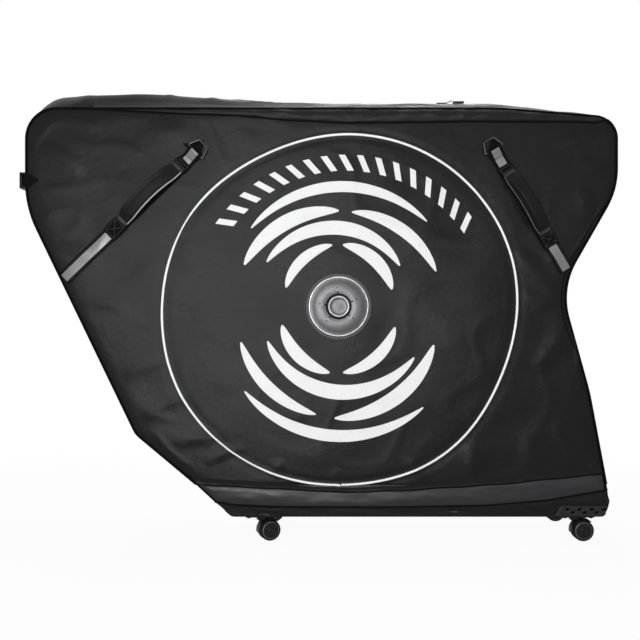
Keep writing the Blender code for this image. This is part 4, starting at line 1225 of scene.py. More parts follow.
def make_grip(strap):
    """A ribbed pad that bows out between the tabs, with a hem at each end and a pale binding along
    one edge, whose colour is a painted highlight.
    """
    start, end = strap.lower + TAB + GAP, strap.upper - TAB - GAP
    share = np.linspace(0, 1, 73)
    along = start + (end - start) * share
    full = smooth(np.minimum(share, 1 - share), 0.0, 0.17)
    half, thick = 0.0118 + 0.0034 * full, 0.0019 + 0.0036 * full
    angle = 2 * math.pi * np.arange(GRIP_SIDES) / GRIP_SIDES
    cosine, sine = np.cos(angle), np.sin(angle)
    ribs = 1 + 0.085 * np.cos(angle * 28) * smooth(cosine, 0.05, 0.55) * smooth(sine, -0.5, 0.1)
    wide, tall = squared(cosine, GRIP_SQUARE), squared(sine, GRIP_SQUARE)
    slack = 0.0006 * waves(share[:, None] * 0.16, angle[None] * 0.01, 0.05, 77)
    lean = np.sign(strap.over[1]) * (0.0045 if strap.front else 0.0)

    def rise(share):
        return GRIP_LINE + GRIP_RISE * humped(share, 0.8)

    def leant(share):
        return lean * np.sin(math.pi * share)

    across = half[:, None] * (wide * ribs)[None] + leant(share)[:, None]
    out = rise(share)[:, None] + (thick[:, None] + slack * full[:, None]) * (tall * ribs)[None]
    points = strap.clear(along[:, None], across, out).reshape(-1, 3)
    around = angle[None] * 0.011
    uv = grid_uv((share * (end - start))[:, None], around)
    shape = points, capped(len(share), GRIP_SIDES), uv
    strap.add("grip_pad", shape, grip_cloth, ["grip"], "padding", "grip", 0.8)
    # a pale cord along one edge of the grip: its colour is a painted highlight on that edge
    across = -np.sign(strap.over[1]) * (half + 0.0006) + leant(share)
    line = strap.clear(along, across, rise(share) + thick * 0.2)[3:-3]
    radius, cloth = 0.0011, painted_highlight_binding
    # the front grips' cord is paler and swells in its middle, where the painted highlight is
    # brightest
    if strap.front:
        radius, cloth = 0.0010 + 0.0008 * np.sin(math.pi * share[3:-3]), bright_painted_highlight_binding
    strap.add("grip_painted_highlight_binding", tube(line, radius), cloth, moving="grip")
    hems = []
    rings = 7
    for low, high in ((0.0, 0.045), (0.955, 1.0)):
        t = np.linspace(low, high, rings)
        grow = 1.05 + 0.03 * np.sin(np.pi * np.linspace(0, 1, rings))
        across = (np.interp(t, share, half) * grow)[:, None] * wide[None] + leant(t)[:, None]
        out = rise(t)[:, None] + (np.interp(t, share, thick) * grow + 0.0003)[:, None] * tall[None]
        ring = strap.clear((start + (end - start) * t)[:, None], across, out).reshape(-1, 3)
        hems.append((ring, capped(rings, GRIP_SIDES), grid_uv((t * 0.16)[:, None], around)))
    strap.add("grip_hems", merge(*hems), hem_cloth, moving="grip")


def make_ring(strap):
    """A D-shaped wire ring, its straight side through the band."""
    bow = RING_HALF * 0.55
    corners = ((0, -RING_HALF), (0.022, -bow), (0.022, bow), (0, RING_HALF))
    loop = relaxed(resample(corners, 0.0007, closed=True), 14)[::2]
    path = strap.clear(strap.bar + loop[:, 0], loop[:, 1], BAR_OUT)
    wire = tube(path, 0.002, 12, closed=True, up=(0, 1, 0))
    strap.add("ring_wire", wire, dark_steel, ["ring"], "dark_steel", "ring")


def surface_patch(corners, side, high):
    """A thin sewn patch with a rounded edge on a side panel, and its stitches."""
    outline = relaxed(resample(corners, 0.0012, closed=True), 5)
    middle = outline.mean(0)

    def at(share, lift):
        return on_surface(*(middle + (outline - middle) * share).T, lift, side)

    rows = [at(share, lift) for share, lift in (
        (1.0, -0.0008), (1.0, high * 0.5), (0.985, high * 0.88), (0.95, high), (0.5, high * 1.06),
        (0.05, high * 1.06),
    )]
    points = np.concatenate(rows)
    row = at(0.80, high * 1.03 + 0.0002)
    shape = points, capped(len(rows), len(outline)), points[:, (0, 2)]
    return shape, stitches(np.vstack((row, row[:1])))


def make_anchor(strap):
    """The sewn cloth triangle that holds a strap's ring."""
    patch, row = surface_patch(ANCHORS[strap.name], strap.side, 0.0016)
    strap.add("anchor_patch", patch, patch_cloth)
    strap.add("anchor_stitches", row, thread)


BUCKLE_X = (-0.5973 - 0.0117, -0.5973)
BUCKLE_Z = 0.727
NOSE_BAND = (
    # x and depth of the webbing, from the buckle round the nose to its patch
    (-0.6030, 0.0265), (-0.6022, 0.036), (-0.5995, 0.060), (-0.5960, 0.090), (-0.5925, 0.115),
    (-0.5902, 0.1270), (-0.5886, 0.1335), (-0.5850, 0.1357), (-0.5800, 0.1348), (-0.5725, 0.1352),
    (-0.5655, 0.1358),
)
KEEPER_X = (-0.5990, -0.5862)
KEEPER_Y = (0.1060, 0.1330)


def make_nose(half, side):
    """The buckle's half, the webbing that runs from it round the nose, and its patch."""
    low, high = BUCKLE_X
    shapes = [side_box(side, BUCKLE_X, (0.0003, 0.030), (0.711, 0.743), 0.0022)]
    for z in (0.7165, 0.7235, 0.7305, 0.7375):
        rib = (low - 0.0008, low + 0.0025), (0.012, 0.0275), (z - 0.0011, z + 0.0011)
        shapes.append(side_box(side, *rib, 0.0005))
    name = "buckle_plug" if side < 0 else "buckle_socket"
    if side < 0:
        tongue = (low + 0.0036, high - 0.0036), (-0.004, 0.001), (0.7146, 0.7394)
        shapes.append(side_box(side, *tongue, 0.0008))
    add_to_shell(half, f"{name}_body", merge(*shapes)[:2], plastic, "plastic", [name])
    flat = resample(NOSE_BAND, 0.003)
    ways = headings(flat)
    across = np.linspace(-1, 1, 7)[None]
    width = np.interp(flat[:, 0], (-0.586, -0.566), (0.0125, 0.0030))
    z = BUCKLE_Z + width[:, None] * across
    rows = []
    for out in (0.0009, -0.0009):
        x, depth = flat[:, :1] - out * ways[:, 1:], flat[:, 1:] + out * ways[:, :1]
        rows.append(spot(x, z, depth, side))
    shape = sheet(*rows, run_of(flat)[:, None], across * 0.0125)
    add_to_shell(half, "nose_webbing", shape, strap_cloth, "webbing")
    bars = [side_box(side, KEEPER_X, KEEPER_Y, (z, z + 0.0040), 0.0010) for z in (0.7110, 0.7390)]
    for y in (0.1060, 0.1170, 0.1290):
        depth = y, y + 0.0040
        bars.append(side_box(side, (KEEPER_X[0], -0.5938), depth, (0.7125, 0.7415), 0.0010))
    add_to_shell(half, "nose_keeper", merge(*bars)[:2], plastic, "plastic")
    corners = (-0.584, 0.710), (-0.584, 0.744), (-0.5585, BUCKLE_Z)
    patch, row = surface_patch(corners, side, 0.0020)
    add_to_shell(half, "nose_patch", patch, patch_cloth, "webbing")
    add_to_shell(half, "nose_stitches", row, thread, "webbing")


for half, side in SIDES:
    for name in STRAPS:
        strap = Strap(half, side, name)
        for make in (make_strap, make_grip, make_ring, make_anchor):
            make(strap)
    make_nose(half, side)


# ---------------------------------------------------------------- the base
BAND_TOP = np.array((
    (-0.262, 0.1195), (-0.137, 0.1130), (0.043, 0.1030), (0.163, 0.1070), (0.363, 0.1190),
    (0.575, 0.1395),
))
WALL_SEAM = np.array((
    (-0.250, 0.0845), (-0.205, 0.0830), (-0.160, 0.0765), (-0.100, 0.0735), (0.140, 0.0730),
    (0.330, 0.0765), (0.460, 0.0870), (0.585, 0.1085),
))
CORNER = 0.010
CORNER_CORD = 0.0118  # from the corner's own centre out to its piping
FRONT_SLOPE = 1.083
REAR_BULGE = 0.005
REAR_TUCK = 0.009


def base_front(z):
    return NOSE_X + OUTLINE[0][0] * SEAM_LENGTH + (HINGE_Z - z) * FRONT_SLOPE


def base_rear(z):
    top = NOSE_X + OUTLINE[-1][0] * SEAM_LENGTH
    if z >= WALL_TOP:
        return top + REAR_BULGE * (BASE_TOP - z) / (BASE_TOP - WALL_TOP)
    return top + REAR_BULGE - REAR_TUCK * (WALL_TOP - z) / (WALL_TOP - BASE_BOTTOM)


def plan(z, inset=0.0, long=150, short=48, bend=9):
    """The base's rounded outline at a height, drawn in by an inset, as (x, y) points."""
    radius = max(CORNER - inset, 0.0015)
    half = BASE_HALF - inset
    front, rear = base_front(z) + inset, base_rear(z) - inset
    arcs = []
    for x, y, start, sx, sy in (
        (front, -half, 1.0, 1, 1), (rear, -half, 1.5, -1, 1), (rear, half, 0.0, -1, -1),
        (front, half, 0.5, 1, -1),
    ):
        angle = math.pi * (start + np.linspace(0, 0.5, bend))
        arc = x + sx * radius + radius * np.cos(angle), y + sy * radius + radius * np.sin(angle)
        arcs.append(np.stack(arc, 1))
    loop = []
    for i, arc in enumerate(arcs):
        loop.append(arc)
        count = long if i % 2 == 0 else short
        loop.append(np.linspace(arc[-1], arcs[(i + 1) % 4][0], count + 2)[1:-1])
    return np.concatenate(loop)


def outward(ways):
    return np.stack((ways[:, 1], -ways[:, 0]), 1)


def out_from_plan(loop, out):
    """The loop moved outwards by an amount at each of its points."""
    return loop + outward(headings(loop, closed=True)) * np.broadcast_to(out, len(loop))[:, None]


def wall_seam(x):
    """Height of the seam between the wall and the coated band, which climbs towards the tail."""
    return np.interp(x, *WALL_SEAM.T)


def plan_at(z, inset):
    """The base's outline with a height of its own at each station."""
    stops = np.array((0.052, BASE_BOTTOM, WALL_TOP, BASE_TOP))
    loops = np.stack([plan(stop, max(inset, 0)) for stop in stops])
    z = np.broadcast_to(z, len(loops[0]))
    i = np.clip(np.searchsorted(stops, z) - 1, 0, 2)
    share = ((z - stops[i]) / (stops[i + 1] - stops[i]))[:, None]
    pick = np.arange(len(z))
    return loops[i, pick] * (1 - share) + loops[i + 1, pick] * share


def hoop(levels, under, relief):
    """A closed, lined band round the base from (height, inset) levels outside and inside."""
    outer, inner, uvs = [], [], []
    for z, inset in levels:
        loop = plan_at(z, inset)
        z = np.broadcast_to(z, len(loop))
        steps = np.linalg.norm(np.roll(loop, -1, 0) - loop, axis=1)
        run = np.concatenate(([0], np.cumsum(steps)[:-1]))
        flat = out_from_plan(loop, relief(run, z, loop) - min(inset, 0))
        outer.append(np.column_stack((flat, z)))
        uvs.append(np.stack((run, z), 1))
    for z, inset in under:
        loop = out_from_plan(plan_at(z, inset), -min(inset, 0))
        inner.append(np.column_stack((loop, np.broadcast_to(z, len(loop)))))
    points, faces, parts = ring_sheet(np.stack(outer, 1), np.stack(inner, 1))
    uv = np.vstack([np.stack(rows, 1).reshape(-1, 2) for rows in (uvs, uvs[:1] * len(inner))])
    return points, faces, uv, parts == 1


def wall_relief(run, z, loop):
    seam = wall_seam(loop[:, 0])
    fade = smooth(z, 0.0545, 0.060) * (1 - 0.6 * smooth(z, seam - 0.006, seam - 0.001))
    guard = smooth(base_rear(0.066) - GUARD_LENGTH - loop[:, 0], -0.004, 0.012)
    guard = np.maximum(guard, smooth(z, 0.0785, 0.083))
    hump = np.sin(math.pi * np.clip((z - 0.056) / (seam - 0.056), 0, 1))
    puff = 0.0020 * hump * smooth(z, 0.070, 0.084)
    lift = 0.0010 * waves(run * 0.6, z * 2.0, 0.06, 51)
    lift = lift + 0.0003 * waves(run * 0.5, z * 2.0, 0.025, 52)
    return fade * lift * (0.25 + 0.75 * guard) + puff * guard


def band_relief(run, z, loop):
    ends = smooth(0.1345 - np.abs(loop[:, 1]), 0.0, 0.007)
    seam = wall_seam(loop[:, 0])
    bulge = humped(np.clip((z - seam) / (BASE_TOP - seam), 0, 1), 0.7)
    puff = 0.0006 + 0.0014 * bulge + 0.0007 * waves(run, z, 0.05, 61) * bulge
    return ends * puff - (1 - ends) * 0.0012


def make_wall():
    """The low wall's cloth, turned under the floor's edge, and the piping on its upper seam."""
    seam = wall_seam(plan(WALL_TOP)[:, 0])
    foot = 0.0570
    levels = [(0.05372, 0.0070), (0.05365, 0.0030), (0.0540, 0.0000), (0.0549, -0.0009)]
    levels += [(foot + (seam - 0.0012 - foot) * share, -0.0012) for share in np.linspace(0, 1, 13)]
    levels += [(seam - 0.0006, -0.0006), (seam - 0.0002, 0.0004)]
    under = [(0.05385, 0.0070), (0.05385, 0.0030), (0.0546, -0.0001), (0.0646, -0.0001)]
    under += [(0.0656, 0.0028), (seam - 0.0004, 0.0028)]
    shape = hoop(levels, under, wall_relief)
    add("wall_cloth", shape, (wall_cloth, dark_lining), "base", "oxford", ["base_wall"])
    loop = np.column_stack((out_from_plan(plan_at(seam, 0.0), 0.0013), seam))
    shape = tube(loop, CORD, closed=True, up=(0, 0, 1))
    add("wall_piping", shape, piping_cloth, "base", "webbing")


def make_band():
    """The coated band above the wall, and the piping down its two rear corners."""
    seam = wall_seam(plan(WALL_TOP)[:, 0])
    foot = seam + 0.0012
    levels = [(seam + 0.0004, 0.0006)]
    levels += [(foot + (0.1158 - seam - 0.0012) * share, 0.0) for share in np.linspace(0, 1, 11)]
    levels += [(0.1170, 0.0006), (0.1176, 0.0014)]
    shape = hoop(levels, [(seam + 0.0006, 0.0030), (0.1172, 0.0030)], band_relief)
    add("band_cloth", shape, (coated, dark_lining), "base", "coated", ["base_band"])
    rows = []
    z = np.linspace(0.0640, 0.1168, 30)
    rear = np.array([base_rear(v) for v in z]) - CORNER
    for y, turn in ((-1, 1.5), (1, 0.0)):
        angle = math.pi * (turn + 0.25)
        x = rear + CORNER_CORD * math.cos(angle)
        across = y * (BASE_HALF - CORNER) + CORNER_CORD * math.sin(angle)
        rows.append(tube(np.stack((x, across + 0 * z, z), 1), 0.0016))
    add("rear_corner_piping", merge(*rows), piping_cloth, "base", "webbing")


FOLD_START, FOLD_LENGTH = -0.24, 0.815
FOLD_INSET = 0.0065
NOSE_LEAN, TAIL_LEAN = 1.195, 0.187  # how far the shells' ends draw in for each metre upwards
BAND_TALL = 0.038


def band_top(x):
    """Height of the fold's piping, which waves a little."""
    return np.interp(x, *BAND_TOP.T) + 0.0006 * np.sin(x * 60)


def fold_ends(z):
    """Where the fold over the hinge starts and ends along the bag at a height."""
    above = np.clip(z - HINGE_Z, 0, None)
    below = HINGE_Z - np.minimum(z, HINGE_Z)
    front, rear = (NOSE_X + OUTLINE[i][0] * SEAM_LENGTH for i in (0, -1))
    front = front + below * FRONT_SLOPE - above * NOSE_LEAN
    rear = rear + REAR_BULGE * below / BAND_TALL - above * TAIL_LEAN
    return front + FOLD_INSET, rear - FOLD_INSET


def across_fold(z, share):
    left, right = fold_ends(z)
    return left + (right - left) * share


BELT = 14  # the fold's columns from the wall's seam up to its piping; the rest lie on the panel
ABOVE_BELT = np.array((
    # how far above the piping, and how far out, the fold's other columns are
    (0.0006, 0.1396), (0.0016, 0.1403), (0.0034, 0.1398), (0.0060, 0.1384), (0.0090, 0.1366),
    (0.0120, 0.1349), (0.0150, 0.1325),
))


def make_fold(half, side):
    """The coated band on a long side and the panel's folded edge, across the hinge."""

    def piece(name, shape, material, slot="webbing"):
        over_hinge(add(f"{half}_{name}", shape, material, None, slot), half, side)

    share = np.linspace(0, 1, 191)
    middle = FOLD_START + FOLD_LENGTH * share
    v = np.concatenate((np.linspace(0, 1, BELT), np.ones(len(ABOVE_BELT))))
    extra = np.concatenate((np.zeros(BELT), ABOVE_BELT[:, 0]))
    foot = wall_seam(middle) + 0.0006
    z = foot[:, None] + (band_top(middle) - foot)[:, None] * v[None] + extra[None]
    x = across_fold(z, share[:, None])
    wave = 0.0011 * waves(x * 0.6, z * 1.5, 0.075, 71) + 0.0003 * waves(x * 0.5, z * 2, 0.030, 72)
    puff = humped(v, 0.7)
    depth = 0.1388 + (0.0030 * puff)[None] + wave * puff[None]
    ripple = 0.0003 * waves(x[:, BELT:], z[:, BELT:], 0.03, 73)
    depth[:, BELT:] = ABOVE_BELT[:, 1][None] + ripple
    ends = smooth(np.minimum(share, 1 - share), 0.0, 0.014)[:, None]
    depth = depth * ends + (1 - ends) * np.minimum(depth, BASE_HALF)
    inner = np.minimum(depth - 0.0009, 0.1376)
    points, faces, parts = skin(spot(x, z, depth, side), spot(x, z, inner, side))
    part = np.where(np.arange(len(faces)) % (len(v) - 1) < BELT - 1, 0, 1)
    part[parts > 0] = 2
    shape = points, faces, np.vstack([grid_uv(x, z)] * 2), part
    piece("fold", shape, (coated, oxford, dark_lining), "coated")
    mark = band_top(middle) + 0.0001
    depth = 0.1399 - 0.0016 * smooth(share, 0.985, 1.0)
    line = spot(across_fold(mark, share), mark, depth, side)[2:]
    piece("fold_piping", tube(line, 0.0018), piping_cloth)
    for end in (0, 1):
        z = np.linspace(wall_seam(np.array(fold_ends(0.09))[end]), 0.1330, 24)
        x = fold_ends(z)[end] + (end - 0.5) * 0.0080
        line = spot(x, z, 0.1352 - 0.0027 * smooth(z, 0.116, 0.130), side)
        piece(f"fold_end_{end}", tube(line, 0.0024), piping_cloth)
    rows = []
    for offset, level in ((-0.0044, 0.1398), (0.0046, 0.1400)):
        mark = band_top(middle) + offset
        line = spot(across_fold(mark, share), mark, level, side)[4:-4]
        rows.append(stitches(line, 0.0004, 0.0034))
    piece("fold_stitches", merge(*rows), thread)


GUARD_LENGTH = 0.104
GUARD_Z = (0.0560, 0.0760)
GUARD_MIDDLE = 0.067
GUARD_STEP = 0.0013
OVAL_PITCH = 0.0240
OVAL_SIZE = (0.0054, 0.0030)
OVAL_ROWS = ((0.0630, 0.0), (0.0692, 0.5))


def make_rear_guard():
    """A moulded scuff strip round the tail, with two rows of shallow oval recesses, near-black
    inside: painted shade.
    """
    low, high = GUARD_Z
    rear = base_rear(GUARD_MIDDLE)
    loop = plan(GUARD_MIDDLE, 0.0, 260, 200, 24)
    off = np.abs(loop[:, 0] - (rear - GUARD_LENGTH))
    start, end = (int(np.argmin(off + other * 9)) for other in (loop[:, 1] > 0, loop[:, 1] < 0))
    path = resample(loop[start : end + 1], GUARD_STEP)
    run = np.linspace(0, 1, len(path)) * (len(path) - 1) * GUARD_STEP
    normal = outward(headings(path))
    z = np.linspace(low, high, 23)
    lip = np.exp(-((z - low) / 0.0007) ** 2), np.exp(-((high - z) / 0.0007) ** 2)
    thick = 0.0026 - 0.0012 * lip[0] - 0.0012 * lip[1]
    reach = np.minimum(run, run[-1] - run)
    lean = np.clip(z - low, 0, None) * 0.55
    ends = smooth(reach[:, None] - lean[None], -0.0004, 0.0022)
    out = 0.0003 + thick[None] * (0.12 + 0.88 * ends)
    deep = 0 * out
    for row, shift in OVAL_ROWS:
        along = ((run / OVAL_PITCH + shift) % 1 - 0.5)[:, None] * OVAL_PITCH
        oval = (along / OVAL_SIZE[0]) ** 2 + ((z[None] - row) / OVAL_SIZE[1]) ** 2
        dip = smooth(reach, 0.014, 0.018)[:, None] * (1 - smooth(oval, 0.55, 1.05))
        out, deep = out - 0.0009 * dip, deep + dip
    shift = np.array([base_rear(v) for v in z]) - rear
    tail = smooth(path[:, 0], rear - GUARD_LENGTH, rear - 0.03)

    def face(offset):
        x = path[:, :1] + normal[:, :1] * offset + shift[None] * tail[:, None]
        y = path[:, 1:] + normal[:, 1:] * offset
        return np.stack(np.broadcast_arrays(x, y, z[None]), -1)

    shape = sheet(face(out), face(np.full_like(out, 0.0003)), run[:, None], z[None])
    deep = np.concatenate((deep.ravel(), 0 * deep.ravel()))
    # faces mostly inside an oval take the near-black finish: painted shade in the recesses
    part = np.array([deep[list(corners)].mean() > 0.45 for corners in shape[1]])
    finishes = guard_moulding, painted_recess_shade
    add("rear_guard_moulding", (*shape, part), finishes, "base", "plastic", ["rear_guard"])


make_wall()
make_band()
for half, side in SIDES:
    make_fold(half, side)
make_rear_guard()


# ---------------------------------------------------------------- casters
CASTER_Y = 0.105
CASTER_IN = (0.061, 0.050)  # the swivels' distances from the base's front and rear ends
TURNED_YAW = math.radians(20)  # the near front caster stands turned
WHEEL = 0.0215
TRAIL = 0.014  # how far the axle lies behind the swivel
TYRE_PROFILE = (
    # radius and distance from the caster's middle: the tyre, then the cap set into it
    (0.0031, 0.0036), (0.0165, 0.0036), (0.0172, 0.0042), (0.0186, 0.0042), (0.0200, 0.0046),
    (0.0210, 0.0056), (0.0215, 0.0072), (0.0215, 0.0092), (0.0211, 0.0108), (0.0202, 0.0121),
    (0.0190, 0.0129), (0.0181, 0.0130), (0.0177, 0.0118), (0.0174, 0.0118), (0.0171, 0.0131),
    (0.0160, 0.0137), (0.0135, 0.0141), (0.0105, 0.0144), (0.0072, 0.0146), (0.0066, 0.0140),
    (0.0058, 0.0139), (0.0053, 0.0145), (0.0030, 0.0147), (0.0004, 0.0147),
)
TYRE_ROWS, GROOVE_ROWS = 13, 15
WHEEL_STEPS = 72
FENDER_ARC = np.radians(np.linspace(50, 190, 33))[:, None]
FENDER = ((0.0248, 1.0), (0.0229, 0.6))  # its outer and inner radius, and how far its edges droop
FENDER_HALF = 0.0132
WEB_FOOT = ((-0.0105, 0.0150), (-0.006, 0.0128), (0.006, 0.0128), (0.0105, 0.0150))
BOSS = (
    (0.0060, 0.0420), (0.0104, 0.0428), (0.0112, 0.0440), (0.0112, 0.0488), (0.0106, 0.0500),
    (0.0090, 0.0503), (0.0006, 0.0503),
)
BOLT = ((0.0002, 0.0484), (0.0028, 0.0486), (0.0038, 0.0496), (0.0040, 0.0507), (0.0002, 0.0508))
BOLT_AT = (0.026, 0.019)
PLATE_HALF = (0.032, 0.025)
PLATE_Z = (0.0507, 0.0536)
SWIVEL_RING = ((0.0125, 0.0508), (0.0150, 0.0505), (0.0155, 0.0509), (0.0125, 0.0511))


def caster_wheel(matrix, sign):
    """A tyre with a cap set into its outer face, which has five shallow spokes."""
    shape = turned([(r, sign * y) for r, y in TYRE_PROFILE], WHEEL_STEPS)
    grid = shape[0].reshape(len(TYRE_PROFILE), WHEEL_STEPS, 3)
    radius = np.hypot(grid[..., 0], grid[..., 2])
    angle = np.arctan2(grid[..., 2], grid[..., 0])
    spoke = np.clip(np.cos(angle * 5), 0, 1) ** 6
    spoke = spoke * smooth(radius, 0.0075, 0.010) * (1 - smooth(radius, 0.0150, 0.0165))
    grid[..., 1] -= sign * 0.0003 * np.where(grid[..., 1] * sign > 0.0128, spoke, 0)
    row = np.concatenate((np.repeat(np.arange(len(TYRE_PROFILE) - 1), WHEEL_STEPS), [0, 99]))
    part = np.select([row < TYRE_ROWS, row < GROOVE_ROWS], [0, 2], 1)
    return (*moved((grid.reshape(-1, 3), *shape[1:]), matrix), part)


def caster_hood(matrix):
    """A crowned fender over both wheels, the web between them and a round swivel boss."""
    across = np.linspace(-1, 1, 13)[None]
    rows = []
    for radius, droop in FENDER:
        reach = radius - 0.0016 * np.abs(across) ** 6 * droop
        x = TRAIL + reach * np.cos(FENDER_ARC)
        z = WHEEL + reach * np.sin(FENDER_ARC)
        rows.append(np.stack((x, 0 * x + across * FENDER_HALF, z), -1))
    arc = np.hstack((TRAIL + 0.0238 * np.cos(FENDER_ARC), WHEEL + 0.0238 * np.sin(FENDER_ARC)))
    foot = [(TRAIL + x, z) for x, z in WEB_FOOT]
    web = resample(np.vstack((arc, foot)), 0.0016, closed=True)
    middle = web.mean(0)
    rings = []
    for y, share in ((-0.0030, 0.985), (-0.0024, 1), (0.0024, 1), (0.0030, 0.985)):
        x, z = (middle + (web - middle) * share).T
        rings.append(np.column_stack((x, np.full(len(web), y), z)))
    shapes = [skin(*rows)[:2], (np.concatenate(rings), capped(4, len(web)))]
    shapes.append(turned(BOSS, 40, "z")[:2])
    for y in (-0.0062, 0.0062):
        low, high = (-0.0105, y - 0.0010, 0.0415), (0.0040, y + 0.0010, 0.0470)
        shapes.append(bevelled_box(low, high, 0.0006))
    return moved(merge(*shapes), matrix)


def make_caster(end, x, y, yaw):
    """A caster under one end of the base: hood, plate, bolts and two wheels."""
    matrix = Matrix.Translation((x, y, 0)) @ Matrix.Rotation(yaw, 4, "Z")
    middle = Matrix.Translation((x, y, 0))
    name = f"caster_hood_{end}"
    hood = caster_hood(matrix)[:2]
    add(f"{name}_moulding", hood, plastic, f"caster_{end}", "plastic", [name])
    long, wide = PLATE_HALF
    low, high = (x - long, y - wide, PLATE_Z[0]), (x + long, y + wide, PLATE_Z[1])
    ring = moved(turned(SWIVEL_RING, 40, "z")[:2], middle)
    plate = merge(bevelled_box(low, high, 0.0009), ring)
    name = f"caster_plate_{end}"
    add(f"{name}_moulding", plate[:2], plastic, "base", "plastic", [name])
    bolts = [
        moved(turned(BOLT, 18, "z"), Matrix.Translation((x + bx, y + by, 0)))
        for bx in (-BOLT_AT[0], BOLT_AT[0]) for by in (-BOLT_AT[1], BOLT_AT[1])
    ]
    add(f"caster_bolts_{end}", merge(*bolts)[:2], dark_steel, "base", "dark_steel")
    sign = 1 if y > 0 else -1
    centre = matrix @ Matrix.Translation((TRAIL, 0, WHEEL))
    for name, sign in ((f"wheel_outer_{end}", sign), (f"wheel_inner_{end}", -sign)):
        shape, rubber = caster_wheel(centre, sign), (tyre, wheel_cap, cap_ring)
        add(f"{name}_tyre", shape, rubber, name, "wheel", [name], period=WHEEL_STEPS * 0.02)


for end, x, yaw in (
    ("front", base_front(BASE_BOTTOM) + CASTER_IN[0], TURNED_YAW),
    ("rear", base_rear(BASE_BOTTOM) - CASTER_IN[1], 0),
):
    make_caster(f"{end}_near", x, -CASTER_Y, yaw)
    make_caster(f"{end}_far", x, CASTER_Y, 0)


# ---------------------------------------------------------------- inside the bag
POCKET_RADIUS = 0.335
POCKET_RIM = 0.3335
POCKET_DEEP = 0.040
POCKET_MOUTH = 0.1675
RAIL_Y = 0.030
RAIL_Z = 0.0753
RAIL_IN = (0.037, 0.096)  # the rails' distances from the base's front and rear ends
RAIL_QUARTER = (
    # across and up from the rail's middle, down the slot of one face
    (0.0100, 0.0092), (0.0100, 0.0031), (0.0082, 0.0031), (0.0082, 0.0056), (0.0066, 0.0056),
    (0.0040, 0.0030), (0.0040, -0.0030), (0.0066, -0.0056), (0.0082, -0.0056), (0.0082, -0.0031),
    (0.0100, -0.0031), (0.0100, -0.0092),
)
SCREW = ((0.0002, 0.0856), (0.0030, 0.0856), (0.0040, 0.0846), (0.0040, 0.0838), (0.0002, 0.0836))


def make_wheel_pocket(half, side):
    """A lined round pocket with a level mouth: loose cloth sewn to the panel along its rim."""
    low = np.linspace(0.0005 - POCKET_RADIUS, -0.30, 8)
    z = np.concatenate((low, np.linspace(-0.288, POCKET_MOUTH, 46)))[:, None]
    across = np.sin(np.linspace(-math.pi / 2, math.pi / 2, 75))[None]
    x = np.sqrt(POCKET_RADIUS ** 2 - z ** 2) * across
    z = z + 0 * x
    edge = POCKET_RADIUS - np.hypot(x, z)
    free = smooth(z, 0.10, POCKET_MOUTH)
    stand = 1 - np.exp(-np.clip(edge, 0, None) / 0.014)
    sag = 0.0016 * waves(x, z, 0.15, 91)
    sag = sag + 0.0030 * creases(x, z * 0.6, 0.12, 92) * (0.4 + 0.6 * free)
    depth = SEAM_Y - 0.0012 - (POCKET_DEEP - 0.0045) * stand + sag * smooth(edge, 0.0, 0.05)
    x, z = POCKET[0] + x, POCKET[1] + z
    shape = sheet(spot(x, z, depth, side), spot(x, z, depth - 0.0014, side), x, z)
    add_to_shell(half, "pocket_cloth", shape, lining, "lining", ["wheel_pocket"])
    mouth = spot(x[-1], z[-1] + 0.0002, depth[-1] - 0.0007, side)
    binding = tube(mouth, 0.0032, 10, flatten=0.75)
    add_to_shell(half, "pocket_binding", binding, strap_cloth, "webbing")
    angle = np.linspace(math.radians(150), math.radians(390), 160)
    x, z = POCKET[0] + POCKET_RIM * np.cos(angle), POCKET[1] + POCKET_RIM * np.sin(angle)
    rim = tube(spot(x, z, SEAM_Y - 0.0022, side), CORD)
    add_to_shell(half, "pocket_rim", rim, strap_cloth, "webbing")
    flat = np.linspace(0, 1, 15)[:, None]
    z = POCKET[1] + POCKET_MOUTH + 0.028 * np.sin(math.pi * flat) - 0.004
    depth = SEAM_Y - POCKET_DEEP + 0.006 + 0.006 * np.cos(math.pi * flat)
    across = np.linspace(-0.012, 0.012, 5)[None]
    rows = [spot(POCKET[0] + across, z - lift, depth, side) for lift in (0.0, 0.0014)]
    add_to_shell(half, "pocket_tab", sheet(*rows, flat * 0.06, across), strap_cloth, "webbing")


def rail_shape(y, low, high):
    """A square extrusion with a slot down each face."""
    outline = []
    for turn in range(4):
        for u, v in RAIL_QUARTER:
            for _ in range(turn):
                u, v = v, -u
            outline.append((u, v))
    outline = np.array(outline)
    rings = []
    for x, share in ((low, 0.985), (low + 0.0006, 1), (high - 0.0006, 1), (high, 0.985)):
        u, v = outline.T * share
        rings.append(np.column_stack((np.full(len(outline), x), y + u, RAIL_Z + v)))
    return np.concatenate(rings), capped(4, len(outline))


def make_rails():
    """Two rails, each screwed down where the fork mount and the rear stand don't slide."""
    low, high = base_front(FLOOR_TOP) + RAIL_IN[0], base_rear(FLOOR_TOP) - RAIL_IN[1]
    for name, y in (("rail_near", -RAIL_Y), ("rail_far", RAIL_Y)):
        add(f"{name}_extrusion", rail_shape(y, low, high), rail_metal, "base", "rail", [name])
        places = low + 0.012, low + 0.20, high - 0.2645, high - 0.012
        screws = [moved(turned(SCREW, 20, "z"), Matrix.Translation((x, y, 0))) for x in places]
        add(f"{name}_screws", merge(*screws)[:2], dark_steel, "base", "dark_steel")


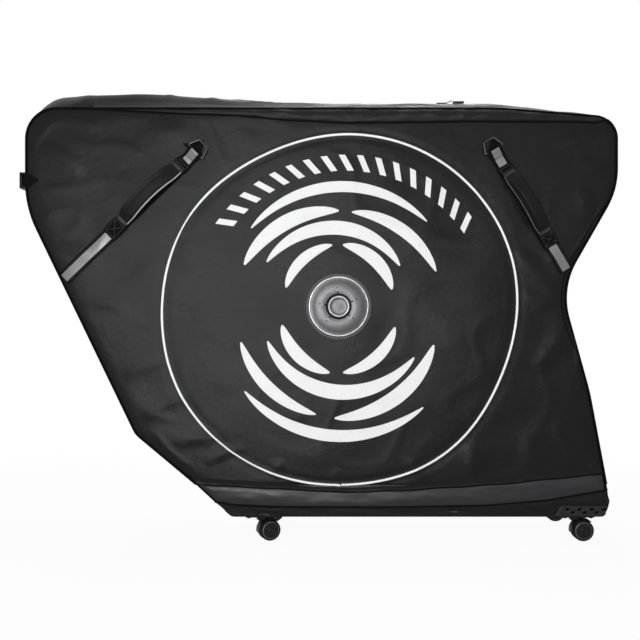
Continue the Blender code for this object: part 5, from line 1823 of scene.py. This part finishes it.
def make_pad():
    """A foam block that crowns on top, pulls in between its corners and sits flat on the rails."""
    low, high = (np.array(c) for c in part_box("bb_pad"))
    middle, half = (low + high) / 2, (high - low) / 2
    line = np.linspace(-1, 1, 26)
    u, v = np.meshgrid(line, line, indexing="ij")
    shapes = []
    for axis in range(3):
        for sign in (-1, 1):
            face = [u, v]
            face.insert(axis, np.full_like(u, sign))
            shapes.append((np.stack(face, -1).reshape(-1, 3), quads(len(line), len(line))))
    points, faces, _ = merge(*shapes)
    power = 7.0
    size = (np.abs(points) ** power).sum(1) ** (1 / power)
    points = points / size[:, None] * np.abs(points).max(1)[:, None]
    top = smooth(points[:, 2], 0.2, 1.0)
    crown = 1 - 0.10 * (points[:, 0] ** 2 + points[:, 1] ** 2)
    points[:, 2] *= np.where(points[:, 2] > 0, crown, 1)
    waist = 1 - 0.022 * (1 - points[:, 2] ** 2)
    points[:, 0] *= waist * (1 - 0.012 * (1 - points[:, 1] ** 2))
    points[:, 1] *= waist * (1 - 0.016 * (1 - points[:, 0] ** 2))
    points[:, :2] *= (1 - 0.04 * top)[:, None]
    points = middle + points * half
    points[:, 2] = np.maximum(points[:, 2], low[2])
    piece = make_object("pad_foam", (points, faces), foam)
    clean(piece.data, weld=0.0002)
    place(piece, "base", "foam", ["bb_pad"], 0.8)


def dress(names, material):
    """Gives CAD nodes that stay visible their finish."""
    for name in names:
        materials = bpy.data.objects[name].data.materials
        count = max(len(materials), 1)
        materials.clear()
        for _ in range(count):
            materials.append(material)


for half, side in SIDES:
    make_wheel_pocket(half, side)
make_rails()
make_pad()
axles = [f"caster_axle_{end}_{half}" for end in ("front", "rear") for half, _ in SIDES]
dress(["base_floor"], floor_board)
dress(["fork_mount", "rear_stand", "skewer_knob"], plastic)
dress(["fork_skewer", "rear_skewer", *axles], steel)


# ---------------------------------------------------------------- floor, light and camera
FLOOR_SIZE = 14


def make_floor():
    """A pale floor, which glows white for the camera but keeps the bag's shadow near it."""
    bpy.ops.mesh.primitive_plane_add(size=1)
    floor = bpy.context.object
    floor.name = "floor"
    floor.scale = (FLOOR_SIZE, FLOOR_SIZE, 1)
    floor.location = (0, 0, -0.0005)
    ground = Finish("pale_floor", (0.90, 0.90, 0.90), 0.8, specular=0.1)
    rays = ground.node("ShaderNodeLightPath").outputs
    seen = ground.maths("MAXIMUM", rays["Is Glossy Ray"], rays["Is Transmission Ray"])
    seen = ground.maths("MAXIMUM", rays["Is Camera Ray"], seen)
    glow = ground.node("ShaderNodeEmission", {"Color": (1, 1, 1, 1), "Strength": 1.0})
    metres = ground.place("Object", (FLOOR_SIZE, FLOOR_SIZE, 1))
    away = ground.node("ShaderNodeVectorMath", {0: metres}, operation="LENGTH").outputs["Value"]
    share = ground.remap(away, 0.9, 2.0, 0.94, 1.0)
    surfaces = {0: ground.times(seen, share), 1: ground.shader.outputs[0], 2: glow.outputs[0]}
    mix = ground.node("ShaderNodeMixShader", surfaces)
    output = ground.tree.nodes["Material Output"]
    ground.tree.links.new(mix.outputs[0], output.inputs["Surface"])
    floor.data.materials.append(ground.material)


def make_world():
    """A dim even light on the bag, and white behind it and in what it mirrors."""
    world = bpy.data.worlds.new("studio")
    bpy.context.scene.world = world
    world.use_nodes = True
    nodes, links = world.node_tree.nodes, world.node_tree.links
    rays = nodes.new("ShaderNodeLightPath").outputs
    seen = rays["Is Camera Ray"]
    for other in ("Is Glossy Ray", "Is Transmission Ray"):
        either = nodes.new("ShaderNodeMath")
        either.operation = "MAXIMUM"
        links.new(seen, either.inputs[0])
        links.new(rays[other], either.inputs[1])
        seen = either.outputs[0]
    strength = nodes.new("ShaderNodeMapRange")
    links.new(seen, strength.inputs[0])
    strength.inputs[3].default_value = 0.16
    strength.inputs[4].default_value = 1.0
    nodes["Background"].inputs[0].default_value = (1, 1, 1, 1)
    links.new(strength.outputs[0], nodes["Background"].inputs[1])


LAMPS = (
    # name, place, what it points at, power, width and height
    ("key", (-0.42, -2.45, 0.63), (-0.13, 0.0, 0.47), 43, 0.56, 0.56),
    ("side", (-2.2, -1.3, 1.5), (-0.1, 0.0, 0.45), 2.5, 1.0, 1.2),
    ("right", (0.70, -2.3, 1.10), (0.30, 0.0, 0.70), 4, 0.6, 0.6),
    ("top", (0.30, 0.2, 2.5), (0.15, 0.0, 0.4), 17, 1.4, 1.2),
    ("back", (0.2, 2.3, 1.5), (0.0, 0.0, 0.5), 30, 1.6, 1.2),
)


def add_lamp(name, place, target, power, width, height):
    lamp = bpy.data.lights.new(name, "AREA")
    lamp.shape = "RECTANGLE"
    lamp.size, lamp.size_y, lamp.energy = width, height, power
    made = bpy.data.objects.new(name, lamp)
    made.location = place
    made.rotation_euler = (Vector(target) - Vector(place)).to_track_quat("-Z", "Y").to_euler()
    bpy.context.scene.collection.objects.link(made)


def add_camera():
    """Level, 1.76 m from the near panel, a little below the middle of the bag's height."""
    camera = bpy.data.cameras.new("camera")
    camera.sensor_fit = "HORIZONTAL"
    camera.angle = math.radians(40)
    camera.shift_y = 0.05
    made = bpy.data.objects.new("camera", camera)
    made.location = (0.003, -1.893, 0.383)
    made.rotation_euler = (math.radians(90), 0, 0)
    bpy.context.scene.collection.objects.link(made)
    bpy.context.scene.camera = made


make_floor()
make_world()
for row in LAMPS:
    add_lamp(*row)
add_camera()
bpy.context.scene.view_settings.view_transform = "Standard"
